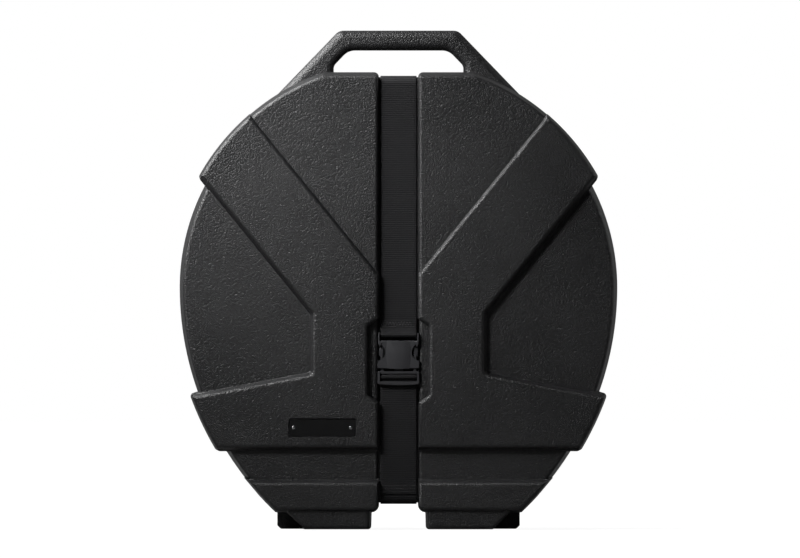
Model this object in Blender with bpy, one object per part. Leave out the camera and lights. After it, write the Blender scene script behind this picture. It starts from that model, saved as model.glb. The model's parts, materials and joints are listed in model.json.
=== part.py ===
"""Moulded cymbal case: two shells, a wrap-around web strap with a side-release buckle,
and a padded bay with a threaded centre post.

Metres. +Z is up, the lid faces -Y, and the shells meet on the plane y = 0. The case stands
on its four moulded feet with z = 0 under them. Depths are measured from the meeting plane,
and "side" is -1 for the lid and +1 for the rear shell.
"""
from collections import namedtuple
from math import asin
from math import atan2
from math import ceil
from math import copysign
from math import cos
from math import pi
from math import radians
from math import sin
from math import sqrt
from math import tan

import bmesh
import bpy
from mathutils import Matrix

MM = 0.001

# Outline of the case, seen from the front
DISC_RADIUS = 309 * MM
DISC_LIFT = 32 * MM
FLANK_OFFSET = 128 * MM
CHEEK_RISE = 13.8 * MM
CROWN_RIM_STEP = 0.8 * MM
BAND_RISE = 12 * MM
TOP_FLAT_DEPTH = 18 * MM
BODY_TOP_DROP = 5 * MM
FOOT_HEIGHT = 24.5 * MM
SKIRT_RISE = 1 * MM
SKIRT_HEIGHT = 46.5 * MM
SKIRT_GAP = 42 * MM
BAND_HEIGHT = 109 * MM
WAIST_HEIGHT = 82 * MM
WAIST_HALF = 124 * MM
CHEEK_WIDTH = 109.6 * MM
CROWN_TUCK = 14 * MM
SEAM_ANGLE = radians(51)
BAND_TOP_SLOPE = radians(-10.7)
ARC_STEP = radians(4)
TIP_ROUND = 6 * MM
WAIST_ROUND = 3.5 * MM
TOP_ROUND = 4 * MM
SKIRT_ROUND = 11 * MM
POCKET_ROUND = 3.5 * MM
LEAST_ROUND = 0.5 * MM
CORNER_STEPS = 3

# Depths of the faces, and how the walls between them lean and round off
PANEL_LEVEL = 86 * MM
CROWN_DROP = 5 * MM
BODY_DROP = 10 * MM
CHANNEL_DEPTH = 5 * MM
POCKET_DEPTH = 5 * MM
WALL = 4.5 * MM
RIM_LEAN = 3 * MM
STEP_LEAN = 3.2 * MM
SEAM_LEAN = 1.2 * MM
CHANNEL_LEAN = 2 * MM
STEP_FILLET = 2.5 * MM
SEAM_FILLET = 1.2 * MM
PANEL_EDGE = 4.5 * MM
CROWN_EDGE = 3.5 * MM
BODY_EDGE = 3.5 * MM
EDGE_STEPS = 3
SINK = 0.2 * MM
CAVITY_DRAFT = 3 * MM
TOUCH_GAP = 0.3 * MM
OVERRUN = 30 * MM
MERGE_DISTANCE = 0.003 * MM

# Joint between the shells
LIP_LENGTH = 8 * MM
LIP_THICKNESS = 2.4 * MM
LIP_CLEARANCE = 0.6 * MM
LIP_ROOT = 14 * MM

# Web strap
WEB_HALF = 25.4 * MM
WEB_THICKNESS = 1.6 * MM
FLAP_LENGTH = 20.5 * MM
TAIL_CLEARANCE = 4 * MM
BEND_STEPS = 6
WRAP_STEPS = 10

# Strap channel
CHANNEL_MARGIN = 4.6 * MM
CHANNEL_TOP_DROP = 3.5 * MM
CHANNEL_LOW_RISE = 14.5 * MM
BEND_RADIUS = 10 * MM
LAYER_STEP = 0.3 * MM

# Feet
FOOT_INNER_GAP = 9 * MM
FOOT_INNER_TAPER = 2 * MM
LID_FOOT_INSET = 14 * MM
LID_FOOT_CHAMFER = 20 * MM
REAR_FOOT_INSET = 4 * MM
REAR_FOOT_CHAMFER = 4 * MM
FOOT_SETBACK = 5 * MM
FOOT_BACK_LEVEL = 12 * MM
FOOT_SINK = 3.5 * MM
FOOT_ROUND = 4 * MM
FOOT_EDGE = 4 * MM
FOOT_EDGE_STEPS = 2

# Carrying handle
HANDLE_RISE = 59 * MM
HANDLE_HEIGHT = 28 * MM
HANDLE_DEPTH = 30 * MM
HANDLE_HALF = 85 * MM
HANDLE_LEG_ANGLE = radians(47)
HANDLE_LEG_LENGTH = 128 * MM
HANDLE_CORNER = 24 * MM
HANDLE_EDGE = 11 * MM
HANDLE_SETBACK = 1.5 * MM
HANDLE_CORNER_STEPS = 5
HANDLE_EDGE_STEPS = 4

# Buckle: the two halves meet at a height below the middle of the case
BUCKLE_DROP = 113.8 * MM
BUCKLE_BAR_RADIUS = 1.8 * MM
LADDER_BAR_RADIUS = 2.2 * MM
RAIL_WIDTH = 3.9 * MM
EAR_INSET = 0.6 * MM
EAR_THICKNESS = 2.6 * MM
EAR_CREST = 3 * MM
EAR_REACH = 7.8 * MM
FEMALE_HEIGHT = 39.5 * MM
FEMALE_THICKNESS = 12.4 * MM
FEMALE_SIDE = 1.9 * MM
FEMALE_SKIN = 2.3 * MM
FEMALE_END = 5.2 * MM
WINDOW_RADIUS = 12.5 * MM
WINDOW_DEPTH = 10.8 * MM
WINDOW_LIFT = 23.3 * MM
MALE_GAP = 3.6 * MM
MALE_SETBACK = 0.5 * MM
HEAD_BAR_HEIGHT = 3.2 * MM
SLOT_CLEARANCE = 0.4 * MM
SLOT_BELOW_BAR = 6.4 * MM
END_BAR_HEIGHT = 5.6 * MM
END_BAR_BOW = 1.6 * MM
END_BAR_THICKNESS = 4.6 * MM
ARM_CLEARANCE = 1.2 * MM
ARM_SIDE_CLEARANCE = 0.3 * MM
ARM_END_CLEARANCE = 2 * MM
ARM_WIDTH = 5.2 * MM
ARM_TIP_INSET = 0.5 * MM
ARM_NECK_INSET = 1.7 * MM
GUIDE_HALF = 6.5 * MM
GUIDE_TIP_HALF = 4.5 * MM
GUIDE_SHORTER = 3.5 * MM
BUCKLE_EDGE = 0.9 * MM
BUCKLE_EDGE_STEPS = 2

# Pocket round the buckle
POCKET_SIDE_MARGIN = 12.7 * MM
POCKET_TOP_MARGIN = 9.5 * MM
POCKET_LOW_MARGIN = 13.4 * MM
POCKET_SHOULDER = 9.8 * MM

# Badge plate, left bare
BADGE_X = -107 * MM
BADGE_LIFT = 31.5 * MM
BADGE_LENGTH = 91 * MM
BADGE_HEIGHT = 22.7 * MM
BADGE_THICKNESS = 0.9 * MM
BADGE_CORNER = 3 * MM
BADGE_MARGIN = 0.9 * MM
BADGE_FLARE = 1.2 * MM
BADGE_RECESS_DEPTH = 2.4 * MM
BADGE_RIVET_INSET = 5.5 * MM
BADGE_RIVET_HEAD = 2.4 * MM
BADGE_RIVET_SHANK = 1.2 * MM
BADGE_RIVET_DOME = 0.9 * MM

# Strap rivets through the back of the rear shell
STRAP_RIVET_DROP = 76.5 * MM
STRAP_RIVET_LIFT = 83 * MM
STRAP_RIVET_HEAD = 6.5 * MM
STRAP_RIVET_SHANK = 2.4 * MM
STRAP_RIVET_DOME = 2 * MM
RIVET_WASHER_WIDTH = 5.6 * MM
RIVET_WASHER_THICKNESS = 1.2 * MM
HOLE_CLEARANCE = 0.3 * MM

# Padding
PAD_INSET = 37 * MM
PAD_THICKNESS = 10 * MM
LID_PAD_HOLE = 25 * MM
PAD_HOLE_MARGIN = 3 * MM

# Centre post and what is stacked on it
BOSS_MARGIN = 4 * MM
BOSS_HEIGHT = 8 * MM
FLANGE_WIDTH = 19 * MM
FLANGE_THICKNESS = 3.5 * MM
HUB_WALL = 7 * MM
HUB_HEIGHT = 10 * MM
POST_RADIUS = 4 * MM
POST_SEAT = 5 * MM
POST_TIP_GAP = 6.2 * MM
POST_TIP_CHAMFER = 1 * MM
POST_SCREW_COUNT = 3
POST_SCREW_START = radians(97)
POST_SCREW_HEAD = 3.8 * MM
POST_SCREW_HEAD_HEIGHT = 2.2 * MM
POST_SCREW_SHANK = 1.9 * MM
POST_SCREW_LENGTH = 9 * MM
FELT_RADIUS = 19 * MM
FELT_THICKNESS = 6 * MM
CUP_INSET = 4 * MM
CUP_HEIGHT = 3.5 * MM
CUP_METAL = 1.2 * MM
CUP_SEAT_RADIUS = 8 * MM
NUT_WALL = 2.2 * MM
NUT_FLARE = 2 * MM
NUT_HEIGHT = 12 * MM
WING_REACH = 14.5 * MM
WING_RISE = 9 * MM
WING_THICKNESS = 4 * MM
WING_HEIGHT = 13 * MM
WING_ROUND = 5 * MM
WING_ROUND_STEPS = 3

ROUND_SIDES = 32
SMALL_SIDES = 16
DOME_STEPS = 4

# Derived outline
FLANK_RADIUS = DISC_RADIUS + FLANK_OFFSET
DISC_CENTRE_Z = DISC_LIFT + DISC_RADIUS
CROWN_RISE = CHEEK_RISE - CROWN_RIM_STEP
TOP_Z = DISC_CENTRE_Z + DISC_RADIUS + CROWN_RISE - TOP_FLAT_DEPTH
BODY_TOP_Z = TOP_Z - BODY_TOP_DROP
SKIRT_TOP_Z = FOOT_HEIGHT + SKIRT_HEIGHT
BAND_LOW_Z = SKIRT_TOP_Z + SKIRT_GAP
WAIST_LOW_Z = BAND_LOW_Z + BAND_HEIGHT
WAIST_TOP_Z = WAIST_LOW_Z + WAIST_HEIGHT
SEAM_LOW_Z = WAIST_TOP_Z - WAIST_HALF * tan(SEAM_ANGLE) + CHEEK_WIDTH / cos(SEAM_ANGLE)

# Derived depths
CROWN_LEVEL = PANEL_LEVEL - CROWN_DROP
BODY_LEVEL = PANEL_LEVEL - BODY_DROP
CHANNEL_LEVEL = BODY_LEVEL - CHANNEL_DEPTH
POCKET_LEVEL = CHANNEL_LEVEL - POCKET_DEPTH
REAR_INNER_Y = CHANNEL_LEVEL - WALL
LID_INNER_LEVEL = POCKET_LEVEL - WALL
HALF_GAP = TOUCH_GAP / 2
RIM_WALL = WALL + LIP_CLEARANCE + LIP_THICKNESS

# Derived strap places
CHANNEL_HALF = WEB_HALF + CHANNEL_MARGIN
CHANNEL_TOP_Z = BODY_TOP_Z - CHANNEL_TOP_DROP
CHANNEL_LOW_Z = FOOT_HEIGHT + CHANNEL_LOW_RISE
WEB_BACK_LEVEL = CHANNEL_LEVEL + TOUCH_GAP
WEB_MID_LEVEL = WEB_BACK_LEVEL + WEB_THICKNESS / 2
WEB_FACE_LEVEL = WEB_BACK_LEVEL + WEB_THICKNESS
WEB_TOP_Z = CHANNEL_TOP_Z + TOUCH_GAP + WEB_THICKNESS / 2
WEB_LOW_Z = CHANNEL_LOW_Z - TOUCH_GAP - WEB_THICKNESS / 2
WEB_BEND = BEND_RADIUS + TOUCH_GAP + WEB_THICKNESS / 2
UPPER_HINGE_Z = WEB_TOP_Z - WEB_BEND
LOWER_HINGE_Z = WEB_LOW_Z + WEB_BEND
BAR_WRAP = BUCKLE_BAR_RADIUS + TOUCH_GAP + WEB_THICKNESS / 2
LADDER_WRAP = LADDER_BAR_RADIUS + TOUCH_GAP + WEB_THICKNESS / 2
BUCKLE_BAR_LEVEL = WEB_MID_LEVEL + BAR_WRAP
LADDER_BAR_LEVEL = WEB_MID_LEVEL + LADDER_WRAP
TAIL_LEVEL = WEB_MID_LEVEL + WEB_THICKNESS + TOUCH_GAP
TAIL_END_Z = LOWER_HINGE_Z + TAIL_CLEARANCE
STRAP_RIVET_PLACES = (CHANNEL_TOP_Z - STRAP_RIVET_DROP, CHANNEL_LOW_Z + STRAP_RIVET_LIFT)
RIVET_WASHER_RADIUS = STRAP_RIVET_SHANK + RIVET_WASHER_WIDTH

# Derived buckle places
BUCKLE_LEVEL = (BUCKLE_BAR_LEVEL + LADDER_BAR_LEVEL) / 2
BUCKLE_HALF = WEB_HALF + RAIL_WIDTH
EAR_HALF = BUCKLE_HALF - EAR_INSET
FEMALE_LOW_Z = DISC_CENTRE_Z - BUCKLE_DROP
FEMALE_TOP_Z = FEMALE_LOW_Z + FEMALE_HEIGHT
BUCKLE_BAR_Z = FEMALE_TOP_Z + EAR_REACH
EAR_TOP_Z = BUCKLE_BAR_Z + EAR_CREST
SOCKET_HALF = BUCKLE_HALF - FEMALE_SIDE
SOCKET_THICKNESS = FEMALE_THICKNESS - 2 * FEMALE_SKIN
SOCKET_TOP_Z = FEMALE_TOP_Z - FEMALE_END
WINDOW_Z = FEMALE_LOW_Z + WINDOW_LIFT
MALE_TOP_Z = FEMALE_LOW_Z - MALE_GAP
MALE_THICKNESS = FEMALE_THICKNESS - 2 * MALE_SETBACK
LADDER_REACH = LADDER_BAR_RADIUS + TOUCH_GAP + WEB_THICKNESS + SLOT_CLEARANCE
LADDER_BAR_Z = MALE_TOP_Z - HEAD_BAR_HEIGHT - LADDER_REACH
MALE_SLOT_LOW_Z = LADDER_BAR_Z - SLOT_BELOW_BAR
MALE_LOW_Z = MALE_SLOT_LOW_Z - END_BAR_HEIGHT
ARM_THICKNESS = SOCKET_THICKNESS - 2 * ARM_CLEARANCE
ARM_TOP_Z = SOCKET_TOP_Z - ARM_END_CLEARANCE
ARM_TAB_HALF = SOCKET_HALF - ARM_SIDE_CLEARANCE
ARM_OUTER_HALF = ARM_TAB_HALF - ARM_TIP_INSET
ARM_NECK_HALF = ARM_TAB_HALF - ARM_NECK_INSET
GUIDE_TOP_Z = ARM_TOP_Z - GUIDE_SHORTER
FLAP_TOP_Z = BUCKLE_BAR_Z + FLAP_LENGTH

# Derived pocket places
POCKET_HALF = BUCKLE_HALF + POCKET_SIDE_MARGIN
POCKET_TOP_Z = EAR_TOP_Z + POCKET_TOP_MARGIN
POCKET_LOW_Z = MALE_LOW_Z - POCKET_LOW_MARGIN

# Derived badge and post places
BADGE_Z = BAND_LOW_Z + BADGE_LIFT
BADGE_RIVET_OFFSET = BADGE_LENGTH / 2 - BADGE_RIVET_INSET
PAD_RADIUS = DISC_RADIUS - PAD_INSET
HUB_RADIUS = POST_RADIUS + HUB_WALL
FLANGE_RADIUS = HUB_RADIUS + FLANGE_WIDTH
BOSS_RADIUS = FLANGE_RADIUS + BOSS_MARGIN
BOSS_FACE_Y = REAR_INNER_Y - BOSS_HEIGHT
FLANGE_BACK_Y = BOSS_FACE_Y - TOUCH_GAP
FLANGE_FACE_Y = FLANGE_BACK_Y - FLANGE_THICKNESS
HUB_FACE_Y = FLANGE_BACK_Y - HUB_HEIGHT
POST_BORE = POST_RADIUS + HOLE_CLEARANCE
POST_TIP_Y = PAD_THICKNESS + POST_TIP_GAP - LID_INNER_LEVEL + TOUCH_GAP
POST_SCREW_CIRCLE = (HUB_RADIUS + FLANGE_RADIUS) / 2
CUP_RADIUS = FELT_RADIUS - CUP_INSET
NUT_NECK_RADIUS = POST_BORE + NUT_WALL
NUT_RADIUS = NUT_NECK_RADIUS + NUT_FLARE
WING_SPAN_HALF = NUT_RADIUS + WING_REACH

# A corner of a moulded outline: its place, what its outgoing edge is, and its rounding
Corner = namedtuple("Corner", "x z edge bend")

# How the wall on an edge rises: where it starts, how far it leans in, its foot's fillet
Wall = namedtuple("Wall", "base lean fillet")

RIM = Wall(0.0, RIM_LEAN, 0.0)
TUCKED = Wall(0.0, 0.0, 0.0)
INNER = Wall(0.0, CHANNEL_LEAN, 0.0)
STEP = Wall(BODY_LEVEL - SINK, STEP_LEAN, STEP_FILLET)
SEAM = Wall(CROWN_LEVEL - SINK, SEAM_LEAN, SEAM_FILLET)


def clear_scene():
    for old in list(bpy.data.objects):
        bpy.data.objects.remove(old, do_unlink=True)


def make_collection(name):
    collection = bpy.data.collections.new(name)
    bpy.context.scene.collection.children.link(collection)
    return collection


def make_material(name, colour, roughness, metallic=0.0):
    material = bpy.data.materials.new(name)
    material.use_nodes = True
    shader = material.node_tree.nodes["Principled BSDF"]
    shader.inputs["Base Color"].default_value = (*colour, 1.0)
    shader.inputs["Roughness"].default_value = roughness
    shader.inputs["Metallic"].default_value = metallic
    return material


# Outlines in x and z

def rim_centre_x(angle):
    return -FLANK_OFFSET if angle < 0 else 0.0


def rim_radius(angle):
    return FLANK_RADIUS if angle < 0 else DISC_RADIUS


def rim_angle(height, grow):
    """Angle about the rim's arc centre at which the right-hand rim reaches a height."""
    rise = height - DISC_CENTRE_Z
    return asin(rise / (rim_radius(rise) + grow))


def rim_point(angle, grow):
    reach = rim_radius(angle) + grow
    return rim_centre_x(angle) + reach * cos(angle), DISC_CENTRE_Z + reach * sin(angle)


def rim_arc(start, stop, grow):
    """Points along the right-hand rim between two angles, both ends included."""
    count = max(1, ceil(abs(stop - start) / ARC_STEP))
    points = []
    for index in range(count + 1):
        points.append(rim_point(start + (stop - start) * index / count, grow))
    return points


def rim_between(low_z, high_z, grow):
    """Right-hand rim from one height up to another, with a point where the two arcs meet."""
    low = rim_angle(low_z, grow)
    high = rim_angle(high_z, grow)
    if low < 0 < high:
        return rim_arc(low, 0.0, grow) + rim_arc(0.0, high, grow)[1:]
    return rim_arc(low, high, grow)


def rim_hit(x, z, slope, grow):
    """Angle on the right-hand rim that a ray from (x, z) meets."""
    part = -1.0 if slope < 0 else 1.0
    centre_x = rim_centre_x(part)
    reach = rim_radius(part) + grow
    along = (x - centre_x) * cos(slope) + (z - DISC_CENTRE_Z) * sin(slope)
    across = (z - DISC_CENTRE_Z) * cos(slope) - (x - centre_x) * sin(slope)
    travel = sqrt(reach ** 2 - across ** 2) - along
    hit_x = x + travel * cos(slope) - centre_x
    hit_z = z + travel * sin(slope) - DISC_CENTRE_Z
    return atan2(hit_z, hit_x)


def rim_corners(points, leaving, first_bend=0.0, last_bend=0.0):
    """Corners along the rim; the last one's outgoing edge leaves the rim."""
    corners = [Corner(x, z, RIM, 0.0) for x, z in points]
    corners[0] = corners[0]._replace(bend=first_bend)
    corners[-1] = corners[-1]._replace(edge=leaving, bend=last_bend)
    return corners


def body_corners(inner_x, bend=0.0):
    """Right half of the body, from the line x = inner_x out to the rim."""
    rim = rim_between(FOOT_HEIGHT, BODY_TOP_Z, 0.0)
    return ([Corner(inner_x, FOOT_HEIGHT, RIM, bend)] + rim_corners(rim, RIM)
            + [Corner(inner_x, BODY_TOP_Z, INNER, 0.0)])


def crown_corners(inner_x, rise, bend=0.0, tuck=CROWN_TUCK):
    """Right half of the wedge between the seams, up to the flat top, tucked under the
    cheek."""
    top = TOP_Z - CROWN_RISE + rise
    low = SEAM_LOW_Z - tuck / cos(SEAM_ANGLE) + inner_x * tan(SEAM_ANGLE)
    start = rim_hit(inner_x, low, SEAM_ANGLE, rise)
    rim = rim_arc(start, rim_angle(top, rise), rise)
    return ([Corner(inner_x, low, TUCKED, 0.0)] + rim_corners(rim, RIM)
            + [Corner(inner_x, top, INNER, bend)])


def yoke_corners(inner_x, cheek_rise, band_rise, pocket=False):
    """Right half of the raised cheek beside the crown and the raised band below it, in one
    piece, with the buckle pocket's notch where it has one."""
    band_low = rim_angle(BAND_LOW_Z, band_rise)
    band_top = rim_hit(WAIST_HALF, WAIST_LOW_Z, BAND_TOP_SLOPE, band_rise)
    cheek_low = rim_hit(WAIST_HALF, WAIST_TOP_Z, SEAM_ANGLE, cheek_rise)
    seam_z = SEAM_LOW_Z + inner_x * tan(SEAM_ANGLE)
    cheek_top = rim_hit(inner_x, seam_z, SEAM_ANGLE, cheek_rise)
    corners = [Corner(inner_x, BAND_LOW_Z, STEP, 0.0)]
    corners += rim_corners(rim_arc(band_low, band_top, band_rise), STEP, TIP_ROUND, TIP_ROUND)
    corners += [Corner(WAIST_HALF, WAIST_LOW_Z, STEP, WAIST_ROUND),
                Corner(WAIST_HALF, WAIST_TOP_Z, STEP, WAIST_ROUND)]
    corners += rim_corners(rim_arc(cheek_low, cheek_top, cheek_rise), SEAM, TIP_ROUND)
    corners.append(Corner(inner_x, seam_z, INNER, 0.0))
    if pocket:
        corners += [Corner(inner_x, POCKET_TOP_Z + POCKET_SHOULDER, INNER, POCKET_ROUND),
                    Corner(POCKET_HALF, POCKET_TOP_Z, INNER, POCKET_ROUND),
                    Corner(POCKET_HALF, POCKET_LOW_Z, INNER, POCKET_ROUND),
                    Corner(inner_x, POCKET_LOW_Z - POCKET_SHOULDER, INNER, POCKET_ROUND)]
    return corners


def skirt_corners(inner_x, rise, bend=0.0):
    low = FOOT_HEIGHT - rise
    return ([Corner(inner_x, low, RIM, bend)]
            + rim_corners(rim_between(low, SKIRT_TOP_Z, rise), STEP)
            + [Corner(inner_x, SKIRT_TOP_Z, INNER, 0.0)])


def both_halves(right):
    """Closed outline from its right half, listed from the lowest middle point upwards."""
    left = [(-x, z) for x, z in reversed(right) if x > 0]
    return right + left


def whole(corners):
    """Closed outline of a form whose right half starts and ends on the middle line."""
    return both_halves([(corner.x, corner.z) for corner in corners])


def pocket_outline(grow=0.0):
    """Buckle pocket, with slanted shoulders that run in under the channel."""
    half = POCKET_HALF + grow
    neck = CHANNEL_HALF / 2
    fall = (half - neck) * POCKET_SHOULDER / (POCKET_HALF - CHANNEL_HALF)
    low = POCKET_LOW_Z - grow
    high = POCKET_TOP_Z + grow
    return both_halves([(0.0, low - fall), (neck, low - fall), (half, low), (half, high),
                        (neck, high + fall), (0.0, high + fall)])


def heading(start, end):
    return atan2(end[1] - start[1], end[0] - start[0])


def moved_corner(before, here, after, out_in, out_on):
    """Where a corner goes when its incoming and outgoing edges move outwards."""
    angle_in = heading(before, here)
    half_turn = ((heading(here, after) - angle_in + pi) % (2 * pi) - pi) / 2
    middle = angle_in + half_turn
    reach = (out_in + out_on) / 2 / cos(half_turn)
    slide = 0.0
    if abs(half_turn) > ARC_STEP:
        slide = (out_on - out_in) / 2 / sin(half_turn)
    return (here[0] + reach * sin(middle) + slide * cos(middle),
            here[1] - reach * cos(middle) + slide * sin(middle))


def offset_outline(points, amount):
    """Moves every edge of an anticlockwise outline outwards by amount."""
    count = len(points)
    return [moved_corner(points[index - 1], points[index], points[(index + 1) % count],
                         amount, amount) for index in range(count)]


def corner_arc(before, here, after, radius, steps):
    """Points of the arc that replaces one corner, from one tangent point to the other."""
    angle_in = heading(before, here)
    turn = (heading(here, after) - angle_in + pi) % (2 * pi) - pi
    half_tangent = tan(abs(turn) / 2)
    room = min(sqrt((here[0] - before[0]) ** 2 + (here[1] - before[1]) ** 2),
               sqrt((here[0] - after[0]) ** 2 + (here[1] - after[1]) ** 2)) / 2
    cut = min(radius * half_tangent, room)
    x = here[0] - cut * cos(angle_in)
    z = here[1] - cut * sin(angle_in)
    chord = 2 * cut / half_tangent * sin(abs(turn) / steps / 2)
    points = [(x, z)]
    for step in range(steps):
        direction = angle_in + turn * (step + 1 / 2) / steps
        x += chord * cos(direction)
        z += chord * sin(direction)
        points.append((x, z))
    return points


def round_corners(points, radius, steps, closed=True):
    """Replaces each corner of an outline or path by an arc of the given radius."""
    rounded = []
    count = len(points)
    for index in range(count):
        if not closed and index in (0, count - 1):
            rounded.append(points[index])
            continue
        rounded += corner_arc(points[index - 1], points[index], points[(index + 1) % count],
                              radius, steps)
    return rounded


def rectangle(low_x, high_x, low_z, high_z):
    return [(low_x, low_z), (high_x, low_z), (high_x, high_z), (low_x, high_z)]


# Solids

def finish_mesh(name, bm, collection, material=None):
    bmesh.ops.recalc_face_normals(bm, faces=bm.faces)
    mesh = bpy.data.meshes.new(name)
    bm.to_mesh(mesh)
    bm.free()
    solid = bpy.data.objects.new(name, mesh)
    collection.objects.link(solid)
    if material is not None:
        mesh.materials.append(material)
    else:
        solid.hide_render = True
        solid.display_type = "WIRE"
    return solid


def join_rings(bm, rings):
    """Walls between rings of as many points each, and a face over each end."""
    for ring_here, following in zip(rings, rings[1:]):
        for index in range(len(ring_here)):
            after = (index + 1) % len(ring_here)
            bm.faces.new((ring_here[after], ring_here[index], following[index],
                          following[after]))
    bm.faces.new(rings[0])
    bm.faces.new(list(reversed(rings[-1])))


def wall_inset(depth, top, edge, wall):
    """How far in a wall has come at a depth: it rises from a fillet at its foot, leans
    inwards, and ends in a rounded edge that runs into the top face."""
    depth = max(depth, wall.base)
    slope = wall.lean / (top - wall.base)
    secant = sqrt(1 + slope ** 2)
    sine = slope / secant
    if depth > top - edge * (1 - sine):
        centre = (top - edge - wall.base) * slope + edge * secant
        return centre - sqrt(max(edge ** 2 - (depth - top + edge) ** 2, 0.0))
    if depth < wall.base + wall.fillet * (1 - sine):
        centre = wall.fillet * (slope - secant)
        height = wall.base + wall.fillet - depth
        return centre + sqrt(max(wall.fillet ** 2 - height ** 2, 0.0))
    return (depth - wall.base) * slope


def layer_depths(near, top, edge, walls):
    """Depths at which a moulded form needs a ring, to a micrometre."""
    depths = {near}
    for wall in walls:
        if wall.base > near:
            depths |= {wall.base, wall.base + wall.fillet / 4, wall.base + wall.fillet}
    for step in range(EDGE_STEPS + 1):
        depths.add(top - edge * (1 - sin(pi / 2 * step / EDGE_STEPS)))
    return sorted({round(depth, 6) for depth in depths})


def ring_points(corners, insets):
    """Outline with each edge moved in by its wall's inset, then its corners rounded."""
    count = len(corners)
    moved = []
    for index, corner in enumerate(corners):
        before = corners[index - 1]
        after = corners[(index + 1) % count]
        moved.append(moved_corner(before, corner, after, -insets[before.edge],
                                  -insets[corner.edge]))
    points = []
    for index, corner in enumerate(corners):
        if not corner.bend:
            points.append(moved[index])
            continue
        before = corners[index - 1]
        after = corners[(index + 1) % count]
        turn = (heading(corner, after) - heading(before, corner) + pi) % (2 * pi) - pi
        inset = (insets[before.edge] + insets[corner.edge]) / 2
        bend = max(corner.bend - copysign(inset, turn), LEAST_ROUND)
        points += corner_arc(moved[index - 1], moved[index], moved[(index + 1) % count], bend,
                             CORNER_STEPS)
    return points


def layer(name, corners, side, near, top, edge, collection, material=None):
    """Moulded form on both sides of the middle line, from the right half's corners. Its
    walls rise from the depth near to the face at the depth top."""
    walls = {corner.edge for corner in corners}
    bm = bmesh.new()
    for mirror in (1.0, -1.0):
        rings = []
        for depth in layer_depths(near, top, edge, walls):
            insets = {wall: wall_inset(depth, top, edge, wall) for wall in walls}
            points = ring_points(corners, insets)
            rings.append([bm.verts.new((mirror * x, side * depth, z)) for x, z in points])
        join_rings(bm, rings)
    return finish_mesh(name, bm, collection, material)


def block(name, outline, near, far, collection, material=None, draft=0.0, edge=0.0, steps=1,
          both_edges=False):
    """Solid between the depths near and far whose far face is smaller by the draft.

    near and far are y values; the far face's edge is rounded, and the near one too where
    both_edges is set.
    """
    bm = bmesh.new()
    near_ring = [bm.verts.new((x, near, z)) for x, z in outline]
    far_points = offset_outline(outline, -draft) if draft else outline
    far_ring = [bm.verts.new((x, far, z)) for x, z in far_points]
    join_rings(bm, [near_ring, far_ring])
    if edge:
        bmesh.ops.recalc_face_normals(bm, faces=bm.faces)
        ends = [far_ring, near_ring] if both_edges else [far_ring]
        edges = []
        for end in ends:
            corners = set(end)
            edges += [item for item in bm.edges if corners.issuperset(item.verts)]
        bmesh.ops.bevel(bm, geom=edges, offset=edge, segments=steps, profile=0.5,
                        affect="EDGES", clamp_overlap=True)
    return finish_mesh(name, bm, collection, material)


def extruded(name, outline, half, collection, material=None):
    """Solid from an outline of (y, z) points, across the case to both sides of x = 0."""
    bm = bmesh.new()
    rings = [[bm.verts.new((x, y, z)) for y, z in outline] for x in (-half, half)]
    join_rings(bm, rings)
    return finish_mesh(name, bm, collection, material)


def turned(name, profile, x, z, collection, material=None, sides=ROUND_SIDES):
    """Solid of revolution about a line along y. The profile is (radius, y) from the axis
    out and back, and starts and ends on the axis, or is a closed ring for a bored piece."""
    bm = bmesh.new()
    bored = min(radius for radius, _ in profile) > 0
    verts = [bm.verts.new((radius, y, 0.0)) for radius, y in profile]
    edges = [bm.edges.new(pair) for pair in zip(verts, verts[1:])]
    if bored:
        edges.append(bm.edges.new((verts[-1], verts[0])))
    bmesh.ops.spin(bm, geom=verts + edges, cent=(0, 0, 0), axis=(0, 1, 0), angle=2 * pi,
                   steps=sides, use_merge=True, use_duplicate=False)
    bmesh.ops.remove_doubles(bm, verts=bm.verts, dist=MERGE_DISTANCE)
    bmesh.ops.translate(bm, verts=bm.verts, vec=(x, 0, z))
    return finish_mesh(name, bm, collection, material)


def ring(name, outer, inner, low, high, x, z, collection, material, sides=ROUND_SIDES):
    profile = [(inner, high), (outer, high), (outer, low), (inner, low)]
    return turned(name, profile, x, z, collection, material, sides=sides)


def round_bar(name, radius, near, far, x, z, collection, sides=SMALL_SIDES):
    """Plain cylinder along y between two depths, used to cut and to add."""
    bm = bmesh.new()
    turn = Matrix.Rotation(pi / 2, 4, "X")
    place = Matrix.Translation((x, (near + far) / 2, z)) @ turn
    bmesh.ops.create_cone(bm, cap_ends=True, segments=sides, radius1=radius, radius2=radius,
                          depth=abs(far - near), matrix=place)
    return finish_mesh(name, bm, collection)


def rod_x(name, half_length, radius, depth, z, collection, sides=SMALL_SIDES):
    """Round bar lying across the lid at a depth."""
    bm = bmesh.new()
    turn = Matrix.Rotation(pi / 2, 4, "Y")
    place = Matrix.Translation((0.0, -depth, z)) @ turn
    bmesh.ops.create_cone(bm, cap_ends=True, segments=sides, radius1=radius, radius2=radius,
                          depth=2 * half_length, matrix=place)
    return finish_mesh(name, bm, collection)


def web(name, path, collection, material):
    """Flat strap along a path of (depth, z) points, its full width across the case."""
    count = len(path)
    outer = []
    inner = []
    for index in range(count):
        here = path[index]
        angle_in = heading(path[max(index - 1, 0)], path[max(index, 1)])
        angle_out = heading(path[min(index, count - 2)], path[min(index + 1, count - 1)])
        turn = (angle_out - angle_in + pi) % (2 * pi) - pi
        middle = angle_in + turn / 2
        reach = WEB_THICKNESS / 2 / cos(turn / 2)
        outer.append((here[0] + reach * sin(middle), here[1] - reach * cos(middle)))
        inner.append((here[0] - reach * sin(middle), here[1] + reach * cos(middle)))
    return extruded(name, outer + list(reversed(inner)), WEB_HALF, collection, material)


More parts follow.
